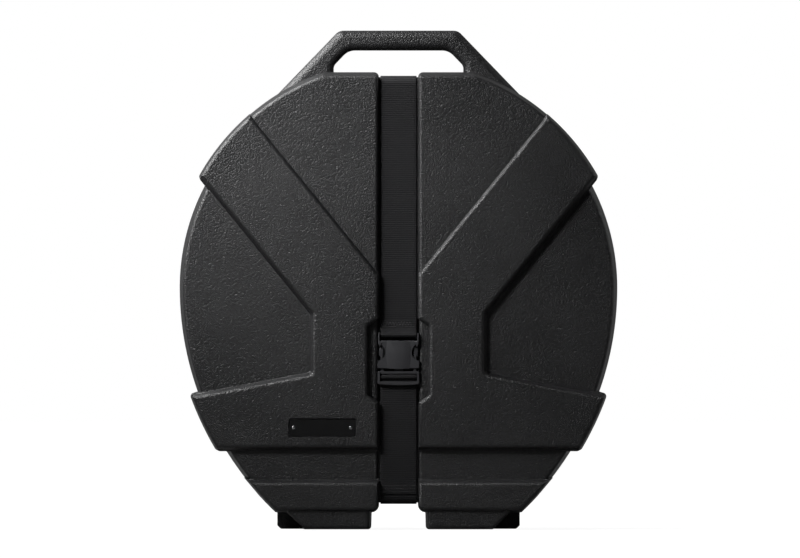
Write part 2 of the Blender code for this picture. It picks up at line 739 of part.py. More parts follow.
def combine(solid, other, operation):
    modifier = solid.modifiers.new(other.name, "BOOLEAN")
    modifier.operation = operation
    modifier.solver = "EXACT"
    modifier.object = other
    return solid


def channel_floor(side, grow, start):
    """Round-cornered path over the bottom, front and top of one shell, under the strap."""
    floor = side * (CHANNEL_LEVEL - grow)
    high = CHANNEL_TOP_Z - grow
    low = CHANNEL_LOW_Z + grow
    corner = max(BEND_RADIUS - grow, LEAST_ROUND)
    return round_corners([(start, low), (floor, low), (floor, high), (start, high)], corner,
                         EDGE_STEPS, closed=False)


def belt(name, side, grow, tools):
    """Everything outside the channel floor, front and bottom and top, within the channel's
    width. grow thickens what it leaves, for the wall behind the channel."""
    past = -side * OVERRUN
    outside = side * (PANEL_LEVEL + OVERRUN)
    above = TOP_Z + OVERRUN
    outer = [(past, above), (outside, above), (outside, -OVERRUN), (past, -OVERRUN)]
    return extruded(name, channel_floor(side, grow, past) + outer, CHANNEL_HALF + grow, tools)


# Shells

def foot_corners(outer, chamfer):
    inner = CHANNEL_HALF + FOOT_INNER_GAP
    top = FOOT_HEIGHT + FOOT_SINK - SKIRT_RISE
    return [Corner(inner + FOOT_INNER_TAPER, 0.0, RIM, FOOT_ROUND),
            Corner(outer - chamfer, 0.0, RIM, FOOT_ROUND), Corner(outer, chamfer, RIM, 0.0),
            Corner(outer, top, RIM, 0.0), Corner(inner, top, RIM, 0.0)]


def make_feet(name, side, inset, chamfer, tools):
    """Both feet of one shell, as far out as the body is wide at their height."""
    outer = rim_point(rim_angle(FOOT_HEIGHT, 0.0), 0.0)[0] - inset
    points = ring_points(foot_corners(outer, chamfer), {RIM: 0.0})
    mirrored = [(-x, z) for x, z in reversed(points)]
    near = side * FOOT_BACK_LEVEL
    face = side * (PANEL_LEVEL - FOOT_SETBACK)
    return [block(f"{name}_{hand}_foot", outline, near, face, tools, edge=FOOT_EDGE,
                  steps=FOOT_EDGE_STEPS)
            for hand, outline in (("right", points), ("left", mirrored))]


def shell_blank(name, side, shells, tools, material, pocket):
    """Outer form of one shell, still solid: the raised forms on both sides of the channel,
    and the bridge under the strap that joins them."""
    body = body_corners(CHANNEL_HALF + 2 * LAYER_STEP, SKIRT_ROUND + LAYER_STEP)
    crown = crown_corners(CHANNEL_HALF + LAYER_STEP, CROWN_RISE, TOP_ROUND)
    yoke = yoke_corners(CHANNEL_HALF, CHEEK_RISE, BAND_RISE, pocket)
    skirt = skirt_corners(CHANNEL_HALF, SKIRT_RISE, SKIRT_ROUND)
    shell = layer(name, body, side, HALF_GAP, BODY_LEVEL, BODY_EDGE, shells, material)
    pieces = [layer(f"{name}_crown", crown, side, HALF_GAP, CROWN_LEVEL, CROWN_EDGE, tools),
              layer(f"{name}_yoke", yoke, side, HALF_GAP, PANEL_LEVEL, PANEL_EDGE, tools),
              layer(f"{name}_skirt", skirt, side, HALF_GAP, PANEL_LEVEL, PANEL_EDGE, tools)]
    bridge = extruded(f"{name}_bridge", channel_floor(side, 0.0, side * HALF_GAP),
                      CHANNEL_HALF + POCKET_ROUND, tools)
    if pocket:
        outside = side * (PANEL_LEVEL + OVERRUN)
        trench = rectangle(-POCKET_HALF, POCKET_HALF, POCKET_LOW_Z - POCKET_SHOULDER,
                           POCKET_TOP_Z + POCKET_SHOULDER)
        combine(bridge, block(f"{name}_trench", trench, outside, side * POCKET_LEVEL, tools),
                "DIFFERENCE")
        floor = offset_outline(pocket_outline(), POCKET_ROUND)
        pieces.append(block(f"{name}_pocket_floor", floor, side * HALF_GAP,
                            side * POCKET_LEVEL, tools))
    for piece in pieces + [bridge]:
        combine(shell, piece, "UNION")
    return shell


def cavity(name, side, near, tools):
    """Hollow inside one shell, a wall's thickness inside each outer face. Behind the raised
    forms it starts past the rim, which stays as thick as the forms stand out."""
    core = block(name, offset_outline(whole(body_corners(0.0)), -WALL), near,
                 side * (BODY_LEVEL - WALL), tools)
    tuck = CROWN_TUCK + 2 * WALL + 2 * CAVITY_DRAFT
    raised = (("crown", crown_corners(0.0, CROWN_RISE, tuck=tuck), CROWN_LEVEL),
              ("yoke", yoke_corners(0.0, CHEEK_RISE, BAND_RISE), PANEL_LEVEL),
              ("skirt", skirt_corners(0.0, SKIRT_RISE), PANEL_LEVEL))
    for order, (label, corners, level) in enumerate(raised, start=1):
        outline = offset_outline(whole(corners), -WALL)
        start = side * (LIP_ROOT + order * LAYER_STEP)
        combine(core, block(f"{name}_{label}", outline, start, side * (level - WALL), tools,
                            draft=CAVITY_DRAFT), "UNION")
    combine(core, belt(f"{name}_hump", side, WALL, tools), "DIFFERENCE")
    return core


def badge_rivet_places():
    return [BADGE_X - BADGE_RIVET_OFFSET, BADGE_X + BADGE_RIVET_OFFSET]


def make_front_shell(shells, tools, material):
    shell = shell_blank("front_shell", -1, shells, tools, material, pocket=True)
    for foot in make_feet("front_shell", -1, LID_FOOT_INSET, LID_FOOT_CHAMFER, tools):
        combine(shell, foot, "UNION")
    outside = -(PANEL_LEVEL + OVERRUN)
    half_length = BADGE_LENGTH / 2 + BADGE_MARGIN + BADGE_FLARE
    half_height = BADGE_HEIGHT / 2 + BADGE_MARGIN + BADGE_FLARE
    recess_outline = rectangle(BADGE_X - half_length, BADGE_X + half_length,
                               BADGE_Z - half_height, BADGE_Z + half_height)
    recess_outline = round_corners(recess_outline, BADGE_CORNER, CORNER_STEPS)
    recess = block("badge_recess", recess_outline, -(PANEL_LEVEL + SINK),
                   -(PANEL_LEVEL - BADGE_RECESS_DEPTH), tools, draft=BADGE_FLARE)
    combine(shell, recess, "DIFFERENCE")
    hollow = cavity("lid_cavity", -1, OVERRUN, tools)
    pocket_back = block("lid_pocket_back", pocket_outline(WALL), outside,
                        -(POCKET_LEVEL - WALL), tools)
    combine(hollow, pocket_back, "DIFFERENCE")
    combine(shell, hollow, "DIFFERENCE")
    for x in badge_rivet_places():
        cutter = round_bar("badge_rivet_hole", BADGE_RIVET_SHANK + HOLE_CLEARANCE, outside,
                           -(PANEL_LEVEL - WALL - OVERRUN), x, BADGE_Z, tools)
        combine(shell, cutter, "DIFFERENCE")
    return shell


def handle_path():
    """Middle line of the handle, from one leg's root up and over to the other's."""
    middle_z = TOP_Z + HANDLE_RISE - HANDLE_HEIGHT / 2
    corner_x = HANDLE_HALF - HANDLE_HEIGHT / 2 * tan(HANDLE_LEG_ANGLE / 2)
    root_x = corner_x + HANDLE_LEG_LENGTH * cos(HANDLE_LEG_ANGLE)
    root_z = middle_z - HANDLE_LEG_LENGTH * sin(HANDLE_LEG_ANGLE)
    corners = [(-root_x, root_z), (-corner_x, middle_z), (corner_x, middle_z), (root_x, root_z)]
    return round_corners(corners, HANDLE_CORNER, HANDLE_CORNER_STEPS, closed=False)


def make_handle(tools):
    """Round-edged bar swept along the handle's path, to be joined to the rear shell."""
    section = round_corners(rectangle(-HANDLE_HEIGHT / 2, HANDLE_HEIGHT / 2,
                                      -HANDLE_DEPTH / 2, HANDLE_DEPTH / 2), HANDLE_EDGE,
                            HANDLE_EDGE_STEPS)
    path = handle_path()
    count = len(path)
    bm = bmesh.new()
    rings = []
    for index, (x, z) in enumerate(path):
        angle_in = heading(path[max(index - 1, 0)], path[max(index, 1)])
        angle_out = heading(path[min(index, count - 2)], path[min(index + 1, count - 1)])
        middle = (angle_in + angle_out) / 2
        stretch = 1 / cos((angle_out - angle_in) / 2)
        points = []
        for across, through in section:
            reach = across * stretch
            y = HANDLE_SETBACK + HANDLE_DEPTH / 2 + through
            points.append(bm.verts.new((x - reach * sin(middle), y, z + reach * cos(middle))))
        rings.append(points)
    join_rings(bm, rings)
    return finish_mesh("handle_bar", bm, tools)


def post_screw_places():
    places = []
    for index in range(POST_SCREW_COUNT):
        angle = POST_SCREW_START + 2 * pi * index / POST_SCREW_COUNT
        x = POST_SCREW_CIRCLE * cos(angle)
        places.append((x, DISC_CENTRE_Z + POST_SCREW_CIRCLE * sin(angle)))
    return places


def make_rear_shell(shells, tools, material):
    shell = shell_blank("rear_shell", 1, shells, tools, material, pocket=False)
    for foot in make_feet("rear_shell", 1, REAR_FOOT_INSET, REAR_FOOT_CHAMFER, tools):
        combine(shell, foot, "UNION")
    combine(shell, make_handle(tools), "UNION")
    inset = WALL + LIP_CLEARANCE
    body = whole(body_corners(0.0))
    lip = block("rear_lip", offset_outline(body, -inset), WALL, -LIP_LENGTH, tools,
                edge=LIP_CLEARANCE)
    combine(lip, belt("lip_channel", -1, inset, tools), "DIFFERENCE")
    combine(shell, lip, "UNION")
    hollow = cavity("rear_cavity", 1, LIP_ROOT, tools)
    mouth = block("rear_mouth", offset_outline(body, -RIM_WALL), -OVERRUN,
                  LIP_ROOT + OVERRUN / 2, tools)
    combine(mouth, belt("mouth_channel", 1, RIM_WALL, tools), "DIFFERENCE")
    combine(hollow, mouth, "UNION")
    combine(shell, hollow, "DIFFERENCE")
    boss = round_bar("post_boss", BOSS_RADIUS, CHANNEL_LEVEL - WALL / 2, BOSS_FACE_Y, 0.0,
                     DISC_CENTRE_Z, tools, sides=ROUND_SIDES)
    combine(shell, boss, "UNION")
    before_boss = BOSS_FACE_Y - OVERRUN
    seat = round_bar("post_seat", POST_BORE, before_boss, BOSS_FACE_Y + POST_SEAT, 0.0,
                     DISC_CENTRE_Z, tools)
    combine(shell, seat, "DIFFERENCE")
    screw_end = FLANGE_FACE_Y + POST_SCREW_LENGTH + HOLE_CLEARANCE
    for x, z in post_screw_places():
        cutter = round_bar("post_screw_hole", POST_SCREW_SHANK + HOLE_CLEARANCE, before_boss,
                           screw_end, x, z, tools)
        combine(shell, cutter, "DIFFERENCE")
    for z in STRAP_RIVET_PLACES:
        cutter = round_bar("strap_rivet_hole", STRAP_RIVET_SHANK + HOLE_CLEARANCE,
                           PANEL_LEVEL + OVERRUN, REAR_INNER_Y - OVERRUN, 0.0, z, tools)
        combine(shell, cutter, "DIFFERENCE")
    return shell


# Strap

def make_strap(parts, tools, material):
    """The web, in the lengths that move apart: over the back, over the lid's top and under
    its bottom, and the two front legs that the buckle joins."""
    level = WEB_MID_LEVEL
    rear_corners = [(HALF_GAP, WEB_TOP_Z), (level, WEB_TOP_Z), (level, WEB_LOW_Z),
                    (HALF_GAP, WEB_LOW_Z)]
    rear_path = round_corners(rear_corners, WEB_BEND, BEND_STEPS, closed=False)
    rear = web("strap_rear_run", rear_path, parts, material)
    for z in STRAP_RIVET_PLACES:
        cutter = round_bar("strap_hole", STRAP_RIVET_SHANK + HOLE_CLEARANCE, 0.0,
                           PANEL_LEVEL + OVERRUN, 0.0, z, tools)
        combine(rear, cutter, "DIFFERENCE")
    middle_z = (WEB_TOP_Z + WEB_LOW_Z) / 2
    for name, end_z in (("strap_lid_top_run", WEB_TOP_Z), ("strap_lid_bottom_run", WEB_LOW_Z)):
        corners = [(-HALF_GAP, end_z), (-level, end_z), (-level, middle_z)]
        path = round_corners(corners, WEB_BEND, BEND_STEPS, closed=False)[:-1]
        web(name, path, parts, material)
    make_upper_leg(parts, material)
    make_lower_leg(parts, material)


def wrap_arc(depth, z, radius, start, stop, steps=WRAP_STEPS):
    """Points of an arc round a bar, in (depth, z), angles from straight out of the case."""
    points = []
    for index in range(steps + 1):
        angle = start + (stop - start) * index / steps
        points.append((-(depth + radius * cos(angle)), z + radius * sin(angle)))
    return points


def make_upper_leg(parts, material):
    """Down from the lid's top edge, behind the buckle's bar, round it and up to a sewn end."""
    path = [(-WEB_MID_LEVEL, UPPER_HINGE_Z - TOUCH_GAP)]
    path += wrap_arc(BUCKLE_BAR_LEVEL, BUCKLE_BAR_Z, BAR_WRAP, -pi, pi / 4)
    settle_z = BUCKLE_BAR_Z + 2 * BAR_WRAP
    path += [(-TAIL_LEVEL, settle_z), (-TAIL_LEVEL, FLAP_TOP_Z)]
    return web("strap_upper_leg", path, parts, material)


def make_lower_leg(parts, material):
    """Up from the lid's bottom edge, over the buckle's ladder bar and back down as a tail
    that lies on the front of the same web."""
    path = [(-WEB_MID_LEVEL, LOWER_HINGE_Z + TOUCH_GAP)]
    path += wrap_arc(LADDER_BAR_LEVEL, LADDER_BAR_Z, LADDER_WRAP, pi, 0.0)
    path += wrap_arc(LADDER_BAR_LEVEL, LADDER_BAR_Z, LADDER_WRAP, 0.0, -pi / 3,
                     WRAP_STEPS // 2)[1:]
    settle_z = LADDER_BAR_Z - 2 * LADDER_WRAP
    path += [(-TAIL_LEVEL, settle_z), (-TAIL_LEVEL, TAIL_END_Z)]
    return web("strap_lower_leg", path, parts, material)


# Buckle

def centred(level, thickness):
    """Near and far y of a slab about a depth on the lid's side."""
    return -(level - thickness / 2), -(level + thickness / 2)


def make_buckle_female(parts, tools, material):
    """Socket: a flat sleeve with a window on each side for the plug's tabs, and two ears
    that hold the bar for the web."""
    near, far = centred(BUCKLE_LEVEL, FEMALE_THICKNESS)
    ear_inner = EAR_HALF - EAR_THICKNESS
    right = [(0.0, FEMALE_LOW_Z), (BUCKLE_HALF, FEMALE_LOW_Z), (BUCKLE_HALF, WINDOW_Z),
             (EAR_HALF, FEMALE_TOP_Z), (EAR_HALF, EAR_TOP_Z), (ear_inner, EAR_TOP_Z),
             (ear_inner, FEMALE_TOP_Z), (0.0, FEMALE_TOP_Z)]
    body = block("buckle_female", both_halves(right), near, far, parts, material,
                 edge=BUCKLE_EDGE, steps=BUCKLE_EDGE_STEPS, both_edges=True)
    bar = rod_x("buckle_bar", ear_inner + EAR_THICKNESS / 2, BUCKLE_BAR_RADIUS,
                BUCKLE_BAR_LEVEL, BUCKLE_BAR_Z, tools)
    combine(body, bar, "UNION")
    window_x = BUCKLE_HALF - WINDOW_DEPTH + WINDOW_RADIUS
    for mirror in (1, -1):
        window = round_bar("buckle_window", WINDOW_RADIUS, near + OVERRUN, far - OVERRUN,
                           mirror * window_x, WINDOW_Z, tools)
        combine(body, window, "DIFFERENCE")
    socket_near, socket_far = centred(BUCKLE_LEVEL, SOCKET_THICKNESS)
    socket_outline = rectangle(-SOCKET_HALF, SOCKET_HALF, FEMALE_LOW_Z - OVERRUN, SOCKET_TOP_Z)
    socket = block("buckle_socket", socket_outline, socket_near, socket_far, tools)
    combine(body, socket, "DIFFERENCE")
    return body


def male_arm_outline():
    """One sprung arm of the buckle's plug, on the right, with its squeeze tab."""
    root = MALE_TOP_Z - HEAD_BAR_HEIGHT / 2
    tab_low = WINDOW_Z - WINDOW_RADIUS / 2
    inner = ARM_TAB_HALF - ARM_WIDTH
    tip_in = inner - ARM_WIDTH / 4
    return [(ARM_NECK_HALF - ARM_WIDTH, root), (ARM_NECK_HALF, root),
            (ARM_NECK_HALF, tab_low), (ARM_TAB_HALF, WINDOW_Z),
            (ARM_OUTER_HALF, ARM_TOP_Z - ARM_WIDTH),
            (ARM_OUTER_HALF - ARM_WIDTH / 2, ARM_TOP_Z), (tip_in, ARM_TOP_Z),
            (inner, tab_low)]


def make_buckle_male(parts, tools, material):
    """Plug: a frame round the slot that the web passes through, its ladder bar, two sprung
    arms and the guide between them."""
    near, far = centred(BUCKLE_LEVEL, MALE_THICKNESS)
    rail_inner = WEB_HALF + 2 * HOLE_CLEARANCE
    slot_top = MALE_TOP_Z - HEAD_BAR_HEIGHT
    right = [(0.0, MALE_LOW_Z), (BUCKLE_HALF / 2, MALE_LOW_Z + END_BAR_BOW / 4),
             (BUCKLE_HALF, MALE_LOW_Z + END_BAR_BOW), (BUCKLE_HALF, MALE_TOP_Z),
             (0.0, MALE_TOP_Z)]
    frame = block("buckle_male", both_halves(right), near, far, parts, material,
                  edge=BUCKLE_EDGE, steps=BUCKLE_EDGE_STEPS, both_edges=True)
    slot = block("ladder_slot", rectangle(-rail_inner, rail_inner, MALE_SLOT_LOW_Z, slot_top),
                 near + OVERRUN, far - OVERRUN, tools)
    combine(frame, slot, "DIFFERENCE")
    relief_outline = rectangle(-rail_inner, rail_inner, MALE_LOW_Z - OVERRUN,
                               (MALE_SLOT_LOW_Z + slot_top) / 2)
    relief = block("end_bar_relief", relief_outline, near + OVERRUN, far + END_BAR_THICKNESS,
                   tools)
    combine(frame, relief, "DIFFERENCE")
    bar = rod_x("ladder_bar", (rail_inner + BUCKLE_HALF) / 2, LADDER_BAR_RADIUS,
                LADDER_BAR_LEVEL, LADDER_BAR_Z, tools)
    combine(frame, bar, "UNION")
    arm_near, arm_far = centred(BUCKLE_LEVEL, ARM_THICKNESS)
    for mirror in (1, -1):
        outline = [(mirror * x, z) for x, z in male_arm_outline()]
        if mirror < 0:
            outline.reverse()
        arm = block("buckle_arm", outline, arm_near, arm_far, tools)
        combine(frame, arm, "UNION")
    root = MALE_TOP_Z - HEAD_BAR_HEIGHT / 2
    guide_right = [(0.0, root), (GUIDE_HALF, root), (GUIDE_TIP_HALF, GUIDE_TOP_Z),
                   (0.0, GUIDE_TOP_Z)]
    guide = block("buckle_guide", both_halves(guide_right), arm_near, arm_far, tools)
    combine(frame, guide, "UNION")
    return frame


# Badge, rivets and inner hardware

def domed_rivet(name, head, shank, dome, under_y, tip_y, x, z, parts, material):
    """Rivet along y: a domed head outside under_y and a shank to tip_y."""
    out = -1.0 if tip_y > under_y else 1.0
    profile = [(0.0, under_y + out * dome)]
    for index in range(1, DOME_STEPS + 1):
        angle = pi / 2 * index / DOME_STEPS
        profile.append((head * sin(angle), under_y + out * dome * cos(angle)))
    profile += [(shank, under_y), (shank, tip_y), (0.0, tip_y)]
    return turned(name, profile, x, z, parts, material, sides=SMALL_SIDES)


def make_badge(parts, tools, plate_material, rivet_material):
    half_length = BADGE_LENGTH / 2
    half_height = BADGE_HEIGHT / 2
    outline = rectangle(BADGE_X - half_length, BADGE_X + half_length, BADGE_Z - half_height,
                        BADGE_Z + half_height)
    outline = round_corners(outline, BADGE_CORNER - BADGE_MARGIN, CORNER_STEPS)
    back = -(PANEL_LEVEL - BADGE_RECESS_DEPTH + TOUCH_GAP)
    face = back - BADGE_THICKNESS
    plate = block("badge_plate", outline, back, face, parts, plate_material)
    for hand, x in zip(("left", "right"), badge_rivet_places()):
        cutter = round_bar("badge_hole", BADGE_RIVET_SHANK + HOLE_CLEARANCE, back + OVERRUN,
                           face - OVERRUN, x, BADGE_Z, tools)
        combine(plate, cutter, "DIFFERENCE")
        tip = -(PANEL_LEVEL - WALL)
        domed_rivet(f"badge_rivet_{hand}", BADGE_RIVET_HEAD, BADGE_RIVET_SHANK,
                    BADGE_RIVET_DOME, face - TOUCH_GAP, tip, x, BADGE_Z, parts,
                    rivet_material)
    return plate


def make_strap_rivets(parts, material):
    for hand, z in zip(("upper", "lower"), STRAP_RIVET_PLACES):
        under = WEB_FACE_LEVEL + TOUCH_GAP
        washer_far = REAR_INNER_Y - TOUCH_GAP
        washer_near = washer_far - RIVET_WASHER_THICKNESS
        domed_rivet(f"strap_rivet_{hand}", STRAP_RIVET_HEAD, STRAP_RIVET_SHANK,
                    STRAP_RIVET_DOME, under, washer_near - TOUCH_GAP, 0.0, z, parts, material)
        ring(f"strap_rivet_washer_{hand}", RIVET_WASHER_RADIUS,
             STRAP_RIVET_SHANK + HOLE_CLEARANCE, washer_near, washer_far, 0.0, z, parts,
             material)


def make_pads(parts, tools, material):
    """Foam discs glued inside each shell. The rear one has holes round the strap rivets."""
    rear_far = REAR_INNER_Y - TOUCH_GAP
    rear = ring("rear_foam_pad", PAD_RADIUS, BOSS_RADIUS + PAD_HOLE_MARGIN,
                rear_far - PAD_THICKNESS, rear_far, 0.0, DISC_CENTRE_Z, parts, material,
                sides=2 * ROUND_SIDES)
    for z in STRAP_RIVET_PLACES:
        cutter = round_bar("pad_rivet_hole", RIVET_WASHER_RADIUS + PAD_HOLE_MARGIN,
                           rear_far + OVERRUN, rear_far - OVERRUN, 0.0, z, tools)
        combine(rear, cutter, "DIFFERENCE")
    lid_far = -(LID_INNER_LEVEL - TOUCH_GAP)
    ring("lid_foam_pad", PAD_RADIUS, LID_PAD_HOLE, lid_far, lid_far + PAD_THICKNESS, 0.0,
         DISC_CENTRE_Z, parts, material, sides=2 * ROUND_SIDES)


def make_post(parts, tools, plastic, steel):
    """Flanged socket screwed to the boss, and the rod that stands in it."""
    profile = [(POST_BORE, FLANGE_BACK_Y), (FLANGE_RADIUS, FLANGE_BACK_Y),
               (FLANGE_RADIUS, FLANGE_FACE_Y), (HUB_RADIUS + FLANGE_THICKNESS, FLANGE_FACE_Y),
               (HUB_RADIUS, FLANGE_FACE_Y - FLANGE_THICKNESS / 2), (HUB_RADIUS, HUB_FACE_Y),
               (POST_BORE, HUB_FACE_Y)]
    base = turned("post_base", profile, 0.0, DISC_CENTRE_Z, parts, plastic)
    for index, (x, z) in enumerate(post_screw_places(), start=1):
        cutter = round_bar("flange_hole", POST_SCREW_SHANK + HOLE_CLEARANCE,
                           FLANGE_BACK_Y + OVERRUN, FLANGE_FACE_Y - OVERRUN, x, z, tools)
        combine(base, cutter, "DIFFERENCE")
        tip = FLANGE_FACE_Y + POST_SCREW_LENGTH
        domed_rivet(f"post_screw_{index}", POST_SCREW_HEAD, POST_SCREW_SHANK,
                    POST_SCREW_HEAD_HEIGHT, FLANGE_FACE_Y - TOUCH_GAP, tip, x, z, parts, steel)
    foot_y = BOSS_FACE_Y + POST_SEAT - TOUCH_GAP
    rod = [(0.0, foot_y), (POST_RADIUS, foot_y), (POST_RADIUS, POST_TIP_Y + POST_TIP_CHAMFER),
           (POST_RADIUS - POST_TIP_CHAMFER, POST_TIP_Y), (0.0, POST_TIP_Y)]
    turned("centre_post", rod, 0.0, DISC_CENTRE_Z, parts, steel)


def make_stack(parts, tools, felt, steel, plastic):
    """Felts, cup washer and wing nut, run down on the socket as in an empty case."""
    low_felt_y = HUB_FACE_Y - TOUCH_GAP
    ring("felt_washer_lower", FELT_RADIUS, POST_BORE, low_felt_y - FELT_THICKNESS, low_felt_y,
         0.0, DISC_CENTRE_Z, parts, felt)
    high_felt_y = low_felt_y - FELT_THICKNESS - TOUCH_GAP
    ring("felt_washer_upper", FELT_RADIUS, POST_BORE, high_felt_y - FELT_THICKNESS,
         high_felt_y, 0.0, DISC_CENTRE_Z, parts, felt)
    cup_y = high_felt_y - FELT_THICKNESS - TOUCH_GAP
    crest_y = cup_y - CUP_HEIGHT
    cup = [(CUP_RADIUS, cup_y), (CUP_RADIUS, cup_y - CUP_METAL), (CUP_SEAT_RADIUS, crest_y),
           (POST_BORE, crest_y), (POST_BORE, crest_y + CUP_METAL),
           (CUP_SEAT_RADIUS, crest_y + CUP_METAL), (CUP_RADIUS - CUP_METAL, cup_y)]
    turned("cup_washer", cup, 0.0, DISC_CENTRE_Z, parts, steel)
    nut_y = crest_y - TOUCH_GAP
    nut_profile = [(POST_BORE, nut_y), (NUT_RADIUS, nut_y), (NUT_NECK_RADIUS, nut_y - NUT_HEIGHT),
                   (POST_BORE, nut_y - NUT_HEIGHT)]
    nut = turned("wing_nut", nut_profile, 0.0, DISC_CENTRE_Z, parts, plastic)
    wing_root = (POST_BORE + NUT_NECK_RADIUS) / 2
    root_y = nut_y - NUT_HEIGHT / 4
    tip_y = root_y - WING_RISE
    for mirror in (1, -1):
        corners = [(wing_root, root_y), (WING_SPAN_HALF, tip_y + WING_ROUND),
                   (WING_SPAN_HALF, tip_y - WING_HEIGHT / 2),
                   (wing_root, nut_y - NUT_HEIGHT + WING_THICKNESS / 4)]
        corners = round_corners(corners, WING_ROUND, WING_ROUND_STEPS)
        bm = bmesh.new()
        rings = []
        for across in (-WING_THICKNESS / 2, WING_THICKNESS / 2):
            rings.append([bm.verts.new((mirror * x, y, DISC_CENTRE_Z + across))
                          for x, y in corners])
        join_rings(bm, rings)
        combine(nut, finish_mesh("nut_wing", bm, tools), "UNION")
    return nut


def main():
    clear_scene()
    parts = make_collection("cymbal_case")
    tools = make_collection("cutters")
    moulded = make_material("moulded_polyethylene", (0.022, 0.022, 0.023), 0.62)
    webbing = make_material("polypropylene_web", (0.018, 0.018, 0.019), 0.85)
    acetal = make_material("buckle_acetal", (0.03, 0.03, 0.031), 0.38)
    badge = make_material("badge_enamel", (0.01, 0.01, 0.01), 0.3)
    steel = make_material("plated_steel", (0.55, 0.55, 0.56), 0.3, 1.0)
    foam = make_material("closed_cell_foam", (0.05, 0.05, 0.055), 0.95)
    felt = make_material("pressed_felt", (0.12, 0.12, 0.13), 0.98)
    nylon = make_material("black_nylon", (0.02, 0.02, 0.02), 0.45)
    make_front_shell(parts, tools, moulded)
    make_rear_shell(parts, tools, moulded)
    make_strap(parts, tools, webbing)
    make_buckle_female(parts, tools, acetal)
    make_buckle_male(parts, tools, acetal)
    make_badge(parts, tools, badge, steel)
    make_strap_rivets(parts, steel)
    make_pads(parts, tools, foam)
    make_post(parts, tools, nylon, steel)
    make_stack(parts, tools, felt, steel, nylon)


main()
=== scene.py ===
"""Looks of the moulded cymbal case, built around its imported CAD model.

Metres, in the CAD model's own frame: +Z is up and the lid faces -Y. The lengths repeat those
of the CAD source, because this file can't read it.
"""
import json
from collections import namedtuple
from math import asin
from math import atan2
from math import ceil
from math import copysign
from math import cos
from math import pi
from math import radians
from math import sin
from math import sqrt
from math import tan

import bmesh
import bpy
from mathutils import Matrix
from mathutils import Vector
from mathutils import noise

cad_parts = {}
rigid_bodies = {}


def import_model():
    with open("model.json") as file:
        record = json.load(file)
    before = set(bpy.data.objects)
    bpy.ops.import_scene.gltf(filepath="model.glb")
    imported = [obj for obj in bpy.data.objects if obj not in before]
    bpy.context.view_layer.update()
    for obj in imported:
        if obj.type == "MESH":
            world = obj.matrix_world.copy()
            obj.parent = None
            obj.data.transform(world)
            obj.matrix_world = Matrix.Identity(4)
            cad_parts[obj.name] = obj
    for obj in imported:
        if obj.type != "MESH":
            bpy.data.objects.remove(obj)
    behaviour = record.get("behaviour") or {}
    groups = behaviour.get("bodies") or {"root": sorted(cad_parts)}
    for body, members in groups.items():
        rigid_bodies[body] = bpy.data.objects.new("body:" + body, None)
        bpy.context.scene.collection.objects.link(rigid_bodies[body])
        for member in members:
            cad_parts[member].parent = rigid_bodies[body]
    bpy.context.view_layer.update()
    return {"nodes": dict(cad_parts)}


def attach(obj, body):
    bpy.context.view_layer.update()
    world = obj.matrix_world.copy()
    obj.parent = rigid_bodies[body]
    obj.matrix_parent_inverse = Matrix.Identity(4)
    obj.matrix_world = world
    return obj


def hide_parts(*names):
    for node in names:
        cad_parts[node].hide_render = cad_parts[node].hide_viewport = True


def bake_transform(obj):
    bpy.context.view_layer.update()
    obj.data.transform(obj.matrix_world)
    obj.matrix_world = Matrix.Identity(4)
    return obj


MM = 0.001

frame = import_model()

# Outline of the case, seen from the front
DISC_RADIUS = 309 * MM
DISC_CENTRE_Z = 341 * MM
FLANK_OFFSET = 128 * MM
FLANK_RADIUS = DISC_RADIUS + FLANK_OFFSET
CHEEK_RISE = 13.8 * MM
CROWN_RISE = 13 * MM
BAND_RISE = 12 * MM
TOP_Z = 645 * MM
BODY_TOP_Z = 640 * MM
BASE_Z = 24.5 * MM
SKIRT_RISE = 1 * MM
SKIRT_TOP_Z = 71 * MM
BAND_LOW_Z = 113 * MM
WAIST_LOW_Z = 222 * MM
WAIST_TOP_Z = 304 * MM
WAIST_HALF = 124 * MM
SEAM_ANGLE = radians(51)
SEAM_LOW_Z = WAIST_TOP_Z - WAIST_HALF * tan(SEAM_ANGLE) + 109.6 * MM / cos(SEAM_ANGLE)
CROWN_TUCK = 14 * MM
BAND_TOP_SLOPE = radians(-10.7)
ARC_STEP = radians(1.6)
LEAST_TURN = radians(4)
TIP_ROUND = 6 * MM
WAIST_ROUND = 3.5 * MM
TOP_ROUND = 7 * MM
SKIRT_ROUND = 11 * MM
POCKET_ROUND = 3.5 * MM
LEAST_ROUND = 0.5 * MM
CORNER_STEPS = 6

# Depths of the faces, and how the walls between them lean and round off
PANEL_LEVEL = 86 * MM
CROWN_LEVEL = 81 * MM
BODY_LEVEL = 76 * MM
CHANNEL_LEVEL = 71 * MM
POCKET_LEVEL = 66 * MM
WALL = 4.5 * MM
RIM_LEAN = 4.8 * MM
BODY_RIM_LEAN = 6.6 * MM
CROWN_RIM_LEAN = 6.2 * MM
STEP_LEAN = 4.4 * MM
SEAM_LEAN = 1.2 * MM
CHANNEL_LEAN = 0.6 * MM
STEP_FILLET = 2.5 * MM
SEAM_FILLET = 1.2 * MM
PANEL_EDGE = 5.5 * MM
CROWN_EDGE = 4.8 * MM
BODY_EDGE = 4.8 * MM
PARTING_EDGE = 0.9 * MM
EDGE_STEPS = 6
FILLET_STEPS = 4
SINK = 0.2 * MM
CAVITY_DRAFT = 4.5 * MM
HOLLOW_STEP = 0.08 * MM
TOUCH_GAP = 0.3 * MM
HALF_GAP = TOUCH_GAP / 2
OVERRUN = 30 * MM
LIP_LENGTH = 8 * MM
LIP_THICKNESS = 2.4 * MM
LIP_CLEARANCE = 0.6 * MM
LIP_ROOT = 14 * MM
RIM_WALL = WALL + LIP_CLEARANCE + LIP_THICKNESS
REAR_INNER_Y = CHANNEL_LEVEL - WALL
LID_INNER_LEVEL = POCKET_LEVEL - WALL

